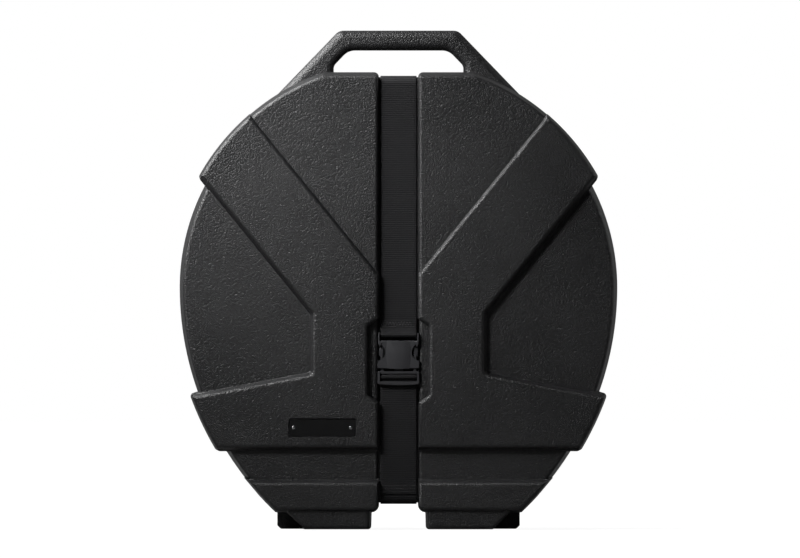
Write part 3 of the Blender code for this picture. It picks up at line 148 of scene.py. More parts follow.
# Strap and its channel
WEB_HALF = 25.4 * MM
WEB_THICKNESS = 1.6 * MM
CHANNEL_HALF = 27.4 * MM
CHANNEL_TOP_Z = 636.5 * MM
CHANNEL_LOW_Z = 39 * MM
BEND_RADIUS = 10 * MM
LAYER_STEP = 0.3 * MM
WEB_MID_LEVEL = CHANNEL_LEVEL + TOUCH_GAP + WEB_THICKNESS / 2
WEB_FACE_LEVEL = WEB_MID_LEVEL + WEB_THICKNESS / 2
WEB_TOP_Z = CHANNEL_TOP_Z + TOUCH_GAP + WEB_THICKNESS / 2
WEB_LOW_Z = CHANNEL_LOW_Z - TOUCH_GAP - WEB_THICKNESS / 2
WEB_BEND = BEND_RADIUS + TOUCH_GAP + WEB_THICKNESS / 2
UPPER_HINGE_Z = WEB_TOP_Z - WEB_BEND
LOWER_HINGE_Z = WEB_LOW_Z + WEB_BEND
FOLD_HALF = 3 * MM
TAIL_LEVEL = WEB_MID_LEVEL + WEB_THICKNESS + TOUCH_GAP
TAIL_END_Z = LOWER_HINGE_Z + 3 * MM
STRAP_RIVET_PLACES = (560 * MM, 122 * MM)
STRAP_HOLE = 2.7 * MM
STRAP_RIVET_SIZE = (6.5 * MM, 2.4 * MM, 2 * MM)
STRAP_WASHER = 1.2 * MM
PATH_STEP = 8 * MM
BACK_PATH_STEP = 12 * MM
STITCH_WIDTH = 0.7 * MM
TACK_PITCH = 1.9 * MM
TACK_HALF = 22 * MM
ZIGZAG_HALF = 18 * MM
ZIGZAG_STEP = 2 * MM
HEM_PITCH = 2.4 * MM
HEM_HALF = 22.5 * MM
HEM_HEIGHT = 7 * MM
HEM_ROWS = 4 * MM

# Buckle
BUCKLE_HALF = 29.3 * MM
BAR_RADIUS = 1.8 * MM
LADDER_RADIUS = 2.2 * MM
BAR_WRAP = BAR_RADIUS + TOUCH_GAP + WEB_THICKNESS / 2
LADDER_WRAP = LADDER_RADIUS + TOUCH_GAP + WEB_THICKNESS / 2
BAR_LEVEL = WEB_MID_LEVEL + BAR_WRAP
LADDER_LEVEL = WEB_MID_LEVEL + LADDER_WRAP
BUCKLE_LEVEL = (BAR_LEVEL + LADDER_LEVEL) / 2
BAR_Z = 274.5 * MM
LADDER_Z = 215.9 * MM
EAR_HALF = 28.7 * MM
EAR_THICKNESS = 2.6 * MM
EAR_TOP_Z = 277.5 * MM
FEMALE_TOP_Z = 266.7 * MM
FEMALE_LOW_Z = 227.2 * MM
SLEEVE_THICKNESS = 10.4 * MM
SOCKET_HALF = 27.4 * MM
SOCKET_THICKNESS = 7.8 * MM
SOCKET_TOP_Z = 261.5 * MM
WINDOW_RADIUS = 12.5 * MM
WINDOW_X = 31 * MM
WINDOW_Z = 250.5 * MM
MALE_TOP_Z = 223.6 * MM
MALE_SLOT_LOW_Z = 209.5 * MM
MALE_LOW_Z = 203.9 * MM
MALE_THICKNESS = 11.4 * MM
HEAD_BAR_HEIGHT = 3.2 * MM
END_BAR_BOW = 1.6 * MM
END_BAR_THICKNESS = 4.6 * MM
ARM_TOP_Z = 259.5 * MM
ARM_THICKNESS = 5.4 * MM
ARM_OUTER_HALF = 26.6 * MM
ARM_TAB_HALF = 27.1 * MM
ARM_NECK_HALF = 25.4 * MM
ARM_WIDTH = 5.2 * MM
GUIDE_HALF = 6.5 * MM
GUIDE_TIP_HALF = 4.5 * MM
GUIDE_TOP_Z = 256 * MM
FLAP_TOP_Z = 295 * MM
SLEEVE_BACK = 6.2 * MM
SLEEVE_EDGE = 1.2 * MM
EAR_FRONT = 6 * MM
SMALL_EDGE = 0.9 * MM
FRAME_EDGE = 1.1 * MM
RAIL_GAP = 0.6 * MM
HEAD_STEP = 1.6 * MM
RIDGE_RADIUS = 0.7 * MM
RIDGE_PITCH = 3 * MM
PLATE_HALVES = (21.5 * MM, 17.6 * MM, 23.2 * MM)
PLATE_WAIST = 0.42
PLATE_FACE = 6.9 * MM
PLATE_FOOT = 1.2 * MM
PLATE_BOW = 1.4 * MM
PLATE_ROLL = 1.3 * MM

# Pocket round the buckle
POCKET_HALF = 42 * MM
POCKET_TOP_Z = 287 * MM
POCKET_LOW_Z = 190.5 * MM
POCKET_SHOULDER = 9.8 * MM

# Feet and handle
FOOT_INNER_X = 37.4 * MM
FOOT_INNER_TAPER = 1 * MM
LID_FOOT_INSET = 15 * MM
LID_FOOT_CHAMFER = 24.5 * MM
REAR_FOOT_INSET = 2 * MM
REAR_FOOT_CHAMFER = 5 * MM
FOOT_TOP_Z = 38 * MM
FOOT_LEVEL = 81 * MM
FOOT_BACK_LEVEL = 12 * MM
FOOT_ROUND = 5 * MM
FOOT_DRAFT = 3 * MM
FOOT_EDGE = 4.5 * MM
HANDLE_TOP_Z = 704 * MM
HANDLE_HEIGHT = 28 * MM
HANDLE_DEPTH = 30 * MM
HANDLE_HALF = 84 * MM
HANDLE_SLOPE = radians(46)
HANDLE_ROOT_Z = 600 * MM
HANDLE_CORNER = 15 * MM
HANDLE_EDGE = 11 * MM
HANDLE_SETBACK = 1.5 * MM
GRIP_HALF = 91.6 * MM
GRIP_TOP_HALF = 70.8 * MM
GRIP_CORNER = 22 * MM
GRIP_KNEE = 11 * MM

# Badge
BADGE_X = -107 * MM
BADGE_Z = 144.5 * MM
BADGE_LENGTH = 91 * MM
BADGE_HEIGHT = 22.7 * MM
BADGE_THICKNESS = 0.9 * MM
BADGE_CORNER = 3 * MM
BADGE_MARGIN = 0.9 * MM
BADGE_FLARE = 1.2 * MM
BADGE_RECESS_DEPTH = 2.4 * MM
BADGE_RIVET_OFFSET = 40 * MM
BADGE_HOLE = 1.5 * MM
BADGE_EDGE = 0.35 * MM
BADGE_BORDER = 1.5 * MM
BADGE_FIELD_DEPTH = 0.25 * MM
BADGE_RIVET_SIZE = (2.4 * MM, 1.2 * MM, 0.9 * MM)

# Padding and the post
PAD_RADIUS = 272 * MM
PAD_THICKNESS = 10 * MM
PAD_RINGS = 54
PAD_SIDES = 192
PAD_ROLL = 3.2 * MM
QUILT_PITCH = 17 * MM
QUILT_DEPTH = 0.55 * MM
QUILT_EASE = 9 * MM
LUMP_DEPTH = 0.35 * MM
LID_PAD_HOLE = 25 * MM
PAD_HOLE_MARGIN = 3 * MM
WASHER_RADIUS = 8 * MM
BOSS_RADIUS = 34 * MM
BOSS_FACE_Y = REAR_INNER_Y - 8 * MM
FLANGE_BACK_Y = BOSS_FACE_Y - TOUCH_GAP
FLANGE_RADIUS = 30 * MM
FLANGE_THICKNESS = 3.5 * MM
FLANGE_FACE_Y = FLANGE_BACK_Y - FLANGE_THICKNESS
HUB_RADIUS = 11 * MM
HUB_FACE_Y = FLANGE_BACK_Y - 10 * MM
RIB_HALF = 1.3 * MM
SEAT_DEPTH = 5 * MM
POST_RADIUS = 4 * MM
POST_BORE = 4.3 * MM
POST_TIP_Y = -45 * MM
SCREW_CIRCLE = 20.5 * MM
SCREW_START = radians(97)
SCREW_HEAD = 3.8 * MM
SCREW_LENGTH = 9.3 * MM
SCREW_HOLE = 2.2 * MM
THREAD_PITCH = 2 * MM
FELT_RADIUS = 19 * MM
FELT_THICKNESS = 6 * MM
CUP_RADIUS = 15 * MM
CUP_HEIGHT = 3.5 * MM
CUP_METAL = 1.2 * MM
CUP_CREST = 8 * MM
NUT_NECK_RADIUS = 6.5 * MM
NUT_RADIUS = 8.5 * MM
NUT_HEIGHT = 12 * MM
WING_SPAN_HALF = 23 * MM
WING_RISE = 9 * MM
WING_THICKNESS = 4 * MM
WING_HEIGHT = 13 * MM
WING_ROUND = 5 * MM
WING_EDGE = 1.5 * MM

SMOOTH_ANGLE = radians(38)
LARGE_FACE = 0.0006
FINE_SIDES = 64

# Weave, stage and camera
WEAVE_COLUMN = 2.1 * MM
WEAVE_ROW = 3 * MM
SURROUND_LIGHT = 0.035
MIRRORED_WHITE = 0.15
FLOOR_HALF = 9.0
CAMERA_PLACE = (0.0021, -12.0, 0.353)
CAMERA_LENS = 382.5
CAMERA_SENSOR = 36.0
CAMERA_REACH = 100.0

Corner = namedtuple("Corner", "x z edge bend")
Wall = namedtuple("Wall", "base lean fillet parting")

RIM = Wall(0.0, RIM_LEAN, 0.0, PARTING_EDGE)
BODY_RIM = Wall(0.0, BODY_RIM_LEAN, 0.0, PARTING_EDGE)
CROWN_RIM = Wall(0.0, CROWN_RIM_LEAN, 0.0, PARTING_EDGE)
TUCKED = Wall(0.0, 0.0, 0.0, 0.0)
INNER = Wall(0.0, CHANNEL_LEAN, 0.0, 0.0)
STEP = Wall(BODY_LEVEL - SINK, STEP_LEAN, STEP_FILLET, 0.0)
SEAM = Wall(CROWN_LEVEL - SINK, SEAM_LEAN, SEAM_FILLET, 0.0)
FOOT_SIDE = Wall(FOOT_BACK_LEVEL, FOOT_DRAFT, 0.0, 0.0)

tools = bpy.data.collections.new("tools")
bpy.context.scene.collection.children.link(tools)
pieces = bpy.data.collections.new("pieces")
bpy.context.scene.collection.children.link(pieces)


# Materials

def colour(text):
    """Linear colour from a written one such as 1a1a1b."""
    values = []
    for place in (0, 2, 4):
        value = int(text[place:place + 2], 16) / 255
        if value <= 0.04045:
            values.append(value / 12.92)
        else:
            values.append(((value + 0.055) / 1.055) ** 2.4)
    return (*values, 1.0)


def add_node(tree, kind, inputs=None, **settings):
    """Adds a node with its settings, and sets or links each of its named inputs."""
    node = tree.nodes.new(kind)
    for name, value in settings.items():
        setattr(node, name, value)
    for name, value in (inputs or {}).items():
        if isinstance(value, bpy.types.NodeSocket):
            tree.links.new(value, node.inputs[name])
        else:
            node.inputs[name].default_value = value
    return node


def new_material(name, **values):
    """Material, its tree, its Principled shader, whose own sockets take the plain values, and
    the places on the object."""
    material = bpy.data.materials.new(name)
    material.use_nodes = True
    tree = material.node_tree
    shader = tree.nodes["Principled BSDF"]
    for key, value in values.items():
        shader.inputs[key.replace("_", " ")].default_value = value
    return material, tree, shader, object_places(tree)


def object_places(tree):
    return add_node(tree, "ShaderNodeTexCoord").outputs["Object"]


def remap(tree, value, low, high, from_low=0.0, from_high=1.0):
    return add_node(tree, "ShaderNodeMapRange",
                    {"Value": value, "From Min": from_low, "From Max": from_high,
                     "To Min": low, "To Max": high}).outputs[0]


def mixed(tree, share, low, high):
    return add_node(tree, "ShaderNodeMix", {0: share, 6: colour(low), 7: colour(high)},
                    data_type="RGBA").outputs[2]


def calculate(tree, operation, *values):
    inputs = dict(enumerate(values))
    return add_node(tree, "ShaderNodeMath", inputs, operation=operation).outputs[0]


def weighted(tree, first, first_weight, second, second_weight):
    return calculate(tree, "ADD", calculate(tree, "MULTIPLY", first, first_weight),
                     calculate(tree, "MULTIPLY", second, second_weight))


def wave_of(tree, value, rate):
    """Size of the sine of a value times a rate."""
    angle = calculate(tree, "MULTIPLY", value, rate)
    return calculate(tree, "ABSOLUTE", calculate(tree, "SINE", angle))


def paint(tree, shader, base, rough, height, distance, strength):
    """Links the colour, the bump and, where it isn't None, the roughness to a shader."""
    tree.links.new(base, shader.inputs["Base Color"])
    if rough is not None:
        tree.links.new(rough, shader.inputs["Roughness"])
    bump = add_node(tree, "ShaderNodeBump",
                    {"Height": height, "Distance": distance, "Strength": strength})
    tree.links.new(bump.outputs[0], shader.inputs["Normal"])


def noise_of(tree, place, scale, detail=2.0, roughness=0.5):
    return add_node(tree, "ShaderNodeTexNoise", {"Vector": place, "Scale": scale,
                    "Detail": detail, "Roughness": roughness}).outputs[0]


def cells_of(tree, place, scale, feature="F1", smoothness=None):
    inputs = {"Vector": place, "Scale": scale}
    if smoothness is not None:
        inputs["Smoothness"] = smoothness
    node = add_node(tree, "ShaderNodeTexVoronoi", inputs, feature=feature)
    return node.outputs["Distance"]


def shell_material():
    """Moulded polyethylene: pebbled grain, faint flow tone and a few rubbed places."""
    material, tree, shader, place = new_material("shell_polyethylene",
                                                 Specular_IOR_Level=0.5)
    pebble = cells_of(tree, place, 540.0, "SMOOTH_F1", 0.3)
    patches = noise_of(tree, place, 300.0, 3.0, 0.6)
    tone = noise_of(tree, place, 7.0, 3.0)
    shade = weighted(tree, tone, 0.35, patches, 0.65)
    base = mixed(tree, remap(tree, shade, 0.0, 1.0, 0.36, 0.64), "0f0f10", "232324")
    rubbed = noise_of(tree, place, 11.0, 6.0, 0.65)
    spots = weighted(tree, rubbed, 0.5, patches, 0.5)
    rough = remap(tree, spots, 0.36, 0.52, 0.35, 0.62)
    height = weighted(tree, pebble, -0.8, patches, 1.1)
    paint(tree, shader, base, rough, height, 1.1 * MM, 0.65)
    return material


def web_material():
    """Woven polypropylene: ribs across the strap, on a map in metres, with painted shade in the
    grooves between them. The real ribs are about 1.5 mm apart, and are drawn at twice that so
    that they show."""
    material, tree, shader, place = new_material("web_polypropylene", Sheen_Weight=0.02,
                                                 Specular_IOR_Level=0.25)
    weave = add_node(tree, "ShaderNodeUVMap", uv_map="weave").outputs[0]
    parts = add_node(tree, "ShaderNodeSeparateXYZ", {0: weave})
    across = wave_of(tree, parts.outputs[0], pi / WEAVE_COLUMN)
    rib = wave_of(tree, parts.outputs[1], pi / WEAVE_ROW)
    thread = calculate(tree, "MULTIPLY", calculate(tree, "POWER", rib, 0.7),
                       calculate(tree, "POWER", across, 0.15))
    fuzz = noise_of(tree, place, 2600.0)
    height = calculate(tree, "ADD", thread, calculate(tree, "MULTIPLY", fuzz, 0.35))
    wear = noise_of(tree, place, 26.0, 4.0)
    # painted shade: the colour follows the ribs' height, darker in the grooves between them and
    # lighter on their crests, mixed with random wear
    base = mixed(tree, weighted(tree, thread, 0.6, wear, 0.4), "050506", "1d1d1f")
    paint(tree, shader, base, remap(tree, thread, 0.85, 0.6), height, 0.45 * MM, 0.9)
    return material


def thread_material():
    material, tree, shader, place = new_material("sewing_thread", Roughness=0.6,
                                                 Sheen_Weight=0.2)
    strand = noise_of(tree, place, 2400.0, 1.0)
    base = mixed(tree, strand, "1b1b1c", "3a3a3c")
    paint(tree, shader, base, None, strand, 0.2 * MM, 0.6)
    return material


def plastic_material(name, low, high, rough_low, rough_high, grain, depth):
    """Moulded plastic with a fine grain, and a duller sheen where hands rub it."""
    material, tree, shader, place = new_material(name, Specular_IOR_Level=0.5)
    base = mixed(tree, noise_of(tree, place, 60.0, 3.0), low, high)
    rubbed = noise_of(tree, place, 140.0, 5.0, 0.6)
    rough = remap(tree, rubbed, rough_low, rough_high, 0.35, 0.65)
    paint(tree, shader, base, rough, noise_of(tree, place, grain), depth, 0.6)
    return material


def enamel_material():
    """Black enamel on the badge plate, with the faint ripple of a sprayed coat."""
    material, tree, shader, place = new_material("badge_enamel", Coat_Weight=0.6,
                                                 Coat_Roughness=0.12)
    ripple = noise_of(tree, place, 420.0)
    dust = noise_of(tree, place, 30.0, 5.0, 0.65)
    paint(tree, shader, mixed(tree, dust, "070708", "131314"), remap(tree, dust, 0.26, 0.42),
          ripple, 0.2 * MM, 0.35)
    return material


def steel_material(name, low, high, rough_low, rough_high):
    """Zinc-plated steel with fine brushing and cloudy plating."""
    material, tree, shader, place = new_material(name, Metallic=1.0)
    cloud = noise_of(tree, place, 180.0, 4.0, 0.6)
    rough = remap(tree, cloud, rough_low, rough_high, 0.3, 0.7)
    brushed = add_node(tree, "ShaderNodeMapping", {"Vector": place,
                                                   "Scale": (1.0, 14.0, 1.0)}).outputs[0]
    paint(tree, shader, mixed(tree, cloud, low, high), rough,
          noise_of(tree, brushed, 900.0), 0.06 * MM, 0.5)
    return material


def foam_material():
    """Closed-cell foam: skinned pores over a soft mottle."""
    material, tree, shader, place = new_material("bay_foam", Sheen_Weight=0.15)
    pores = cells_of(tree, place, 900.0)
    base = mixed(tree, noise_of(tree, place, 40.0, 4.0), "262628", "37373a")
    paint(tree, shader, base, remap(tree, pores, 0.8, 0.97), pores, 0.7 * MM, 0.6)
    return material


def felt_material():
    """Pressed wool: tangled fibres in two greys."""
    material, tree, shader, place = new_material("washer_felt", Roughness=0.95,
                                                 Sheen_Weight=0.5, Sheen_Roughness=0.6)
    stretched = add_node(tree, "ShaderNodeMapping", {"Vector": place,
                                                     "Rotation": (0.4, 0.7, 0.2),
                                                     "Scale": (1.0, 3.0, 0.6)}).outputs[0]
    fibre = noise_of(tree, stretched, 1500.0, 4.0, 0.7)
    cloud = noise_of(tree, place, 220.0, 3.0)
    share = remap(tree, weighted(tree, fibre, 0.6, cloud, 0.4), 0.0, 1.0, 0.35, 0.65)
    base = mixed(tree, share, "3c3c40", "66666c")
    paint(tree, shader, base, None, fibre, 0.9 * MM, 0.8)
    return material


# Outlines in x and z, as in the CAD source

def rim_centre_x(angle):
    return -FLANK_OFFSET if angle < 0 else 0.0


def rim_radius(angle):
    return FLANK_RADIUS if angle < 0 else DISC_RADIUS


def rim_angle(height, grow):
    rise = height - DISC_CENTRE_Z
    return asin(rise / (rim_radius(rise) + grow))


def rim_point(angle, grow):
    reach = rim_radius(angle) + grow
    return rim_centre_x(angle) + reach * cos(angle), DISC_CENTRE_Z + reach * sin(angle)


def rim_arc(start, stop, grow):
    count = max(1, ceil(abs(stop - start) / ARC_STEP))
    return [rim_point(start + (stop - start) * index / count, grow)
            for index in range(count + 1)]


def rim_between(low_z, high_z, grow):
    low = rim_angle(low_z, grow)
    high = rim_angle(high_z, grow)
    if low < 0 < high:
        return rim_arc(low, 0.0, grow) + rim_arc(0.0, high, grow)[1:]
    return rim_arc(low, high, grow)


def rim_hit(x, z, slope, grow):
    part = -1.0 if slope < 0 else 1.0
    centre_x = rim_centre_x(part)
    reach = rim_radius(part) + grow
    along = (x - centre_x) * cos(slope) + (z - DISC_CENTRE_Z) * sin(slope)
    across = (z - DISC_CENTRE_Z) * cos(slope) - (x - centre_x) * sin(slope)
    travel = sqrt(reach ** 2 - across ** 2) - along
    return atan2(z + travel * sin(slope) - DISC_CENTRE_Z, x + travel * cos(slope) - centre_x)


def rim_corners(points, leaving, first_bend=0.0, last_bend=0.0, wall=RIM):
    corners = [Corner(x, z, wall, 0.0) for x, z in points]
    corners[0] = corners[0]._replace(bend=first_bend)
    corners[-1] = corners[-1]._replace(edge=leaving, bend=last_bend)
    return corners


def body_corners(inner_x, bend=0.0):
    rim = rim_between(BASE_Z, BODY_TOP_Z, 0.0)
    return ([Corner(inner_x, BASE_Z, RIM, bend)]
            + rim_corners(rim, BODY_RIM, wall=BODY_RIM)
            + [Corner(inner_x, BODY_TOP_Z, INNER, 0.0)])


def crown_corners(inner_x, bend=0.0, tuck=CROWN_TUCK):
    low = SEAM_LOW_Z - tuck / cos(SEAM_ANGLE) + inner_x * tan(SEAM_ANGLE)
    start = rim_hit(inner_x, low, SEAM_ANGLE, CROWN_RISE)
    rim = rim_arc(start, rim_angle(TOP_Z, CROWN_RISE), CROWN_RISE)
    return ([Corner(inner_x, low, TUCKED, 0.0)] + rim_corners(rim, CROWN_RIM, wall=CROWN_RIM)
            + [Corner(inner_x, TOP_Z, INNER, bend)])


def yoke_corners(inner_x, pocket=False):
    band_low = rim_angle(BAND_LOW_Z, BAND_RISE)
    band_top = rim_hit(WAIST_HALF, WAIST_LOW_Z, BAND_TOP_SLOPE, BAND_RISE)
    cheek_low = rim_hit(WAIST_HALF, WAIST_TOP_Z, SEAM_ANGLE, CHEEK_RISE)
    seam_z = SEAM_LOW_Z + inner_x * tan(SEAM_ANGLE)
    cheek_top = rim_hit(inner_x, seam_z, SEAM_ANGLE, CHEEK_RISE)
    corners = [Corner(inner_x, BAND_LOW_Z, STEP, 0.0)]
    corners += rim_corners(rim_arc(band_low, band_top, BAND_RISE), STEP, TIP_ROUND, TIP_ROUND)
    corners += [Corner(WAIST_HALF, WAIST_LOW_Z, STEP, WAIST_ROUND),
                Corner(WAIST_HALF, WAIST_TOP_Z, STEP, WAIST_ROUND)]
    corners += rim_corners(rim_arc(cheek_low, cheek_top, CHEEK_RISE), SEAM, TIP_ROUND)
    corners.append(Corner(inner_x, seam_z, INNER, 0.0))
    if pocket:
        corners += [Corner(inner_x, POCKET_TOP_Z + POCKET_SHOULDER, INNER, POCKET_ROUND),
                    Corner(POCKET_HALF, POCKET_TOP_Z, INNER, POCKET_ROUND),
                    Corner(POCKET_HALF, POCKET_LOW_Z, INNER, POCKET_ROUND),
                    Corner(inner_x, POCKET_LOW_Z - POCKET_SHOULDER, INNER, POCKET_ROUND)]
    return corners


def skirt_corners(inner_x, bend=0.0):
    """Corners of the skirt. Two points before the rim's last are left out, because they lie
    nearer to the sharp corner there than its walls lean in."""
    low = BASE_Z - SKIRT_RISE
    rim = rim_between(low, SKIRT_TOP_Z, SKIRT_RISE)
    return ([Corner(inner_x, low, RIM, bend)] + rim_corners(rim[:-3] + rim[-1:], STEP)
            + [Corner(inner_x, SKIRT_TOP_Z, INNER, 0.0)])


def both_halves(right):
    return right + [(-x, z) for x, z in reversed(right) if x > 0]


def mirrored(outline, mirror):
    """The outline itself for a mirror of 1, and its image on the other side for -1."""
    outline = [(mirror * x, z) for x, z in outline]
    return outline if mirror > 0 else outline[::-1]


def whole(corners):
    return both_halves([(corner.x, corner.z) for corner in corners])


def pocket_outline(grow=0.0):
    half = POCKET_HALF + grow
    neck = CHANNEL_HALF / 2
    fall = (half - neck) * POCKET_SHOULDER / (POCKET_HALF - CHANNEL_HALF)
    low = POCKET_LOW_Z - grow
    high = POCKET_TOP_Z + grow
    return both_halves([(0.0, low - fall), (neck, low - fall), (half, low), (half, high),
                        (neck, high + fall), (0.0, high + fall)])


def heading(start, end):
    return atan2(end[1] - start[1], end[0] - start[0])


def distance(start, end):
    return sqrt((end[0] - start[0]) ** 2 + (end[1] - start[1]) ** 2)


def turn_between(angle_in, angle_out):
    """The turn from one heading to another, of half a circle at the most."""
    return (angle_out - angle_in + pi) % (2 * pi) - pi


def moved_corner(before, here, after, out_in, out_on):
    angle_in = heading(before, here)
    half_turn = turn_between(angle_in, heading(here, after)) / 2
    middle = angle_in + half_turn
    reach = (out_in + out_on) / 2 / cos(half_turn)
    slide = 0.0
    if abs(half_turn) > LEAST_TURN:
        slide = (out_on - out_in) / 2 / sin(half_turn)
    return (here[0] + reach * sin(middle) + slide * cos(middle),
            here[1] - reach * cos(middle) + slide * sin(middle))


def offset_outline(points, amount):
    count = len(points)
    return [moved_corner(points[index - 1], points[index], points[(index + 1) % count],
                         amount, amount) for index in range(count)]


def corner_arc(before, here, after, radius, steps):
    angle_in = heading(before, here)
    turn = turn_between(angle_in, heading(here, after))
    half_tangent = tan(abs(turn) / 2)
    room = min(distance(before, here), distance(here, after)) / 2
    cut = min(radius * half_tangent, room)
    x = here[0] - cut * cos(angle_in)
    z = here[1] - cut * sin(angle_in)
    chord = 2 * cut / half_tangent * sin(abs(turn) / steps / 2)
    points = [(x, z)]
    for step in range(steps):
        direction = angle_in + turn * (step + 1 / 2) / steps
        x += chord * cos(direction)
        z += chord * sin(direction)
        points.append((x, z))
    return points


def round_corners(points, radius, steps, closed=True):
    """Arcs in place of corners; radius is one length, or one for each corner."""
    rounded = []
    count = len(points)
    for index in range(count):
        bend = radius[index] if isinstance(radius, (list, tuple)) else radius
        if bend == 0 or (not closed and index in (0, count - 1)):
            rounded.append(points[index])
            continue
        rounded += corner_arc(points[index - 1], points[index], points[(index + 1) % count],
                              bend, steps)
    return rounded


def rectangle(low_x, high_x, low_z, high_z):
    return [(low_x, low_z), (high_x, low_z), (high_x, high_z), (low_x, high_z)]


# Solids

def finish_mesh(name, bm):
    bmesh.ops.recalc_face_normals(bm, faces=bm.faces)
    mesh = bpy.data.meshes.new(name)
    bm.to_mesh(mesh)
    bm.free()
    solid = bpy.data.objects.new(name, mesh)
    tools.objects.link(solid)
    return solid


def join_rings(bm, rings):
    """Walls from ring to ring, and a face on the first ring and on the last."""
    for ring, following in zip(rings, rings[1:]):
        for index in range(len(ring)):
            after = (index + 1) % len(ring)
            bm.faces.new((ring[after], ring[index], following[index], following[after]))
    bm.faces.new(rings[0])
    bm.faces.new(list(reversed(rings[-1])))


def lofted(name, rings):
    """Solid through rings of points, each ring with as many as the first."""
    bm = bmesh.new()
    join_rings(bm, [[bm.verts.new(point) for point in ring] for ring in rings])
    return finish_mesh(name, bm)


def wall_inset(depth, top, edge, wall):
    """How far in a wall has come at a depth: a small radius at the parting line or a fillet
    at its foot, a lean, and a rounded edge that runs into the top face."""
    parting = 0.0
    if wall.parting and depth < wall.parting + HALF_GAP:
        short = wall.parting + HALF_GAP - depth
        parting = wall.parting - sqrt(max(wall.parting ** 2 - short ** 2, 0.0))
    depth = max(depth, wall.base)
    slope = wall.lean / (top - wall.base)
    secant = sqrt(1 + slope ** 2)
    sine = slope / secant
    if depth > top - edge * (1 - sine):
        centre = (top - edge - wall.base) * slope + edge * secant
        return centre - sqrt(max(edge ** 2 - (depth - top + edge) ** 2, 0.0))
    if depth < wall.base + wall.fillet * (1 - sine):
        centre = wall.fillet * (slope - secant)
        height = wall.base + wall.fillet - depth
        return centre + sqrt(max(wall.fillet ** 2 - height ** 2, 0.0))
    return (depth - wall.base) * slope + parting


def layer_depths(near, top, edge, walls):
    depths = {near}
    for wall in walls:
        if wall.base > near:
            for step in range(FILLET_STEPS + 1):
                share = 1 - cos(pi / 2 * step / FILLET_STEPS)
                depths.add(wall.base + wall.fillet * share)
        if wall.parting:
            depths |= {near + wall.parting / 5, near + wall.parting / 2, near + wall.parting}
    for step in range(EDGE_STEPS + 1):
        depths.add(top - edge * (1 - sin(pi / 2 * step / EDGE_STEPS)))
    return sorted({round(depth, 6) for depth in depths})


def ring_points(corners, insets):
    count = len(corners)
    moved = []
    for index, corner in enumerate(corners):
        before = corners[index - 1]
        moved.append(moved_corner(before, corner, corners[(index + 1) % count],
                                  -insets[before.edge], -insets[corner.edge]))
    points = []
    for index, corner in enumerate(corners):
        if not corner.bend:
            points.append(moved[index])
            continue
        before = corners[index - 1]
        after = corners[(index + 1) % count]
        turn = turn_between(heading(before, corner), heading(corner, after))
        inset = (insets[before.edge] + insets[corner.edge]) / 2
        bend = max(corner.bend - copysign(inset, turn), LEAST_ROUND)
        points += corner_arc(moved[index - 1], moved[index], moved[(index + 1) % count], bend,
                             CORNER_STEPS)
    return points


def layer(name, corners, side, near, top, edge):
    """Moulded form on both sides of the middle line, from the right half's corners."""
    walls = {corner.edge for corner in corners}
    bm = bmesh.new()
    for mirror in (1.0, -1.0):
        rings = []
        for depth in layer_depths(near, top, edge, walls):
            insets = {wall: wall_inset(depth, top, edge, wall) for wall in walls}
            rings.append([bm.verts.new((mirror * x, side * depth, z))
                          for x, z in ring_points(corners, insets)])
        join_rings(bm, rings)
    return finish_mesh(name, bm)


def block(name, outline, near, far, draft=0.0, edge=0.0, steps=1):
    """Solid between two depths, with a drafted far face and a rounded edge there."""
    bm = bmesh.new()
    near_ring = [bm.verts.new((x, near, z)) for x, z in outline]
    far_points = offset_outline(outline, -draft) if draft else outline
    far_ring = [bm.verts.new((x, far, z)) for x, z in far_points]
    join_rings(bm, [near_ring, far_ring])
    if edge:
        bmesh.ops.recalc_face_normals(bm, faces=bm.faces)
        corners = set(far_ring)
        edges = [item for item in bm.edges if corners.issuperset(item.verts)]
        bmesh.ops.bevel(bm, geom=edges, offset=edge, segments=steps, profile=0.5,
                        affect="EDGES", clamp_overlap=True)
    return finish_mesh(name, bm)


def extruded(name, outline, half):
    """Solid from an outline of (y, z) points, across the case to both sides of x = 0."""
    return lofted(name, [[(x, y, z) for y, z in outline] for x in (-half, half)])


def turned(name, profile, x, z, sides=FINE_SIDES):
    """Solid of revolution about a line along y, from (radius, y) points."""
    bm = bmesh.new()
    verts = [bm.verts.new((radius, y, 0.0)) for radius, y in profile]
    edges = [bm.edges.new(pair) for pair in zip(verts, verts[1:])]
    if min(radius for radius, _ in profile) > 0:
        edges.append(bm.edges.new((verts[-1], verts[0])))
    bmesh.ops.spin(bm, geom=verts + edges, cent=(0, 0, 0), axis=(0, 1, 0), angle=2 * pi,
                   steps=sides, use_merge=True, use_duplicate=False)
    bmesh.ops.remove_doubles(bm, verts=bm.verts, dist=0.002 * MM)
    bmesh.ops.translate(bm, verts=bm.verts, vec=(x, 0, z))
    return finish_mesh(name, bm)


def bar_along(name, axis, radius, low, high, centre, sides=48):
    """Cylinder along x or y between two places, used to cut and to add."""
    bm = bmesh.new()
    turn = Matrix.Rotation(pi / 2, 4, "Y" if axis == "x" else "X")
    middle = (low + high) / 2
    if axis == "x":
        place = Matrix.Translation((middle, centre[0], centre[1])) @ turn
    else:
        place = Matrix.Translation((centre[0], middle, centre[1])) @ turn
    bmesh.ops.create_cone(bm, cap_ends=True, segments=sides, radius1=radius, radius2=radius,
                          depth=abs(high - low), matrix=place)
    return finish_mesh(name, bm)


def combine(solid, others, operation):
    for other in others:
        modifier = solid.modifiers.new(other.name, "BOOLEAN")
        modifier.operation = operation
        modifier.solver = "EXACT"
        modifier.object = other
    return solid


def cut(solid, *others):
    return combine(solid, others, "DIFFERENCE")


def add(solid, *others):
    return combine(solid, others, "UNION")


def evaluated_mesh(solid, name):
    bpy.context.view_layer.update()
    depsgraph = bpy.context.evaluated_depsgraph_get()
    mesh = bpy.data.meshes.new_from_object(solid.evaluated_get(depsgraph),
                                           preserve_all_data_layers=True,
                                           depsgraph=depsgraph)
    mesh.name = name
    return mesh


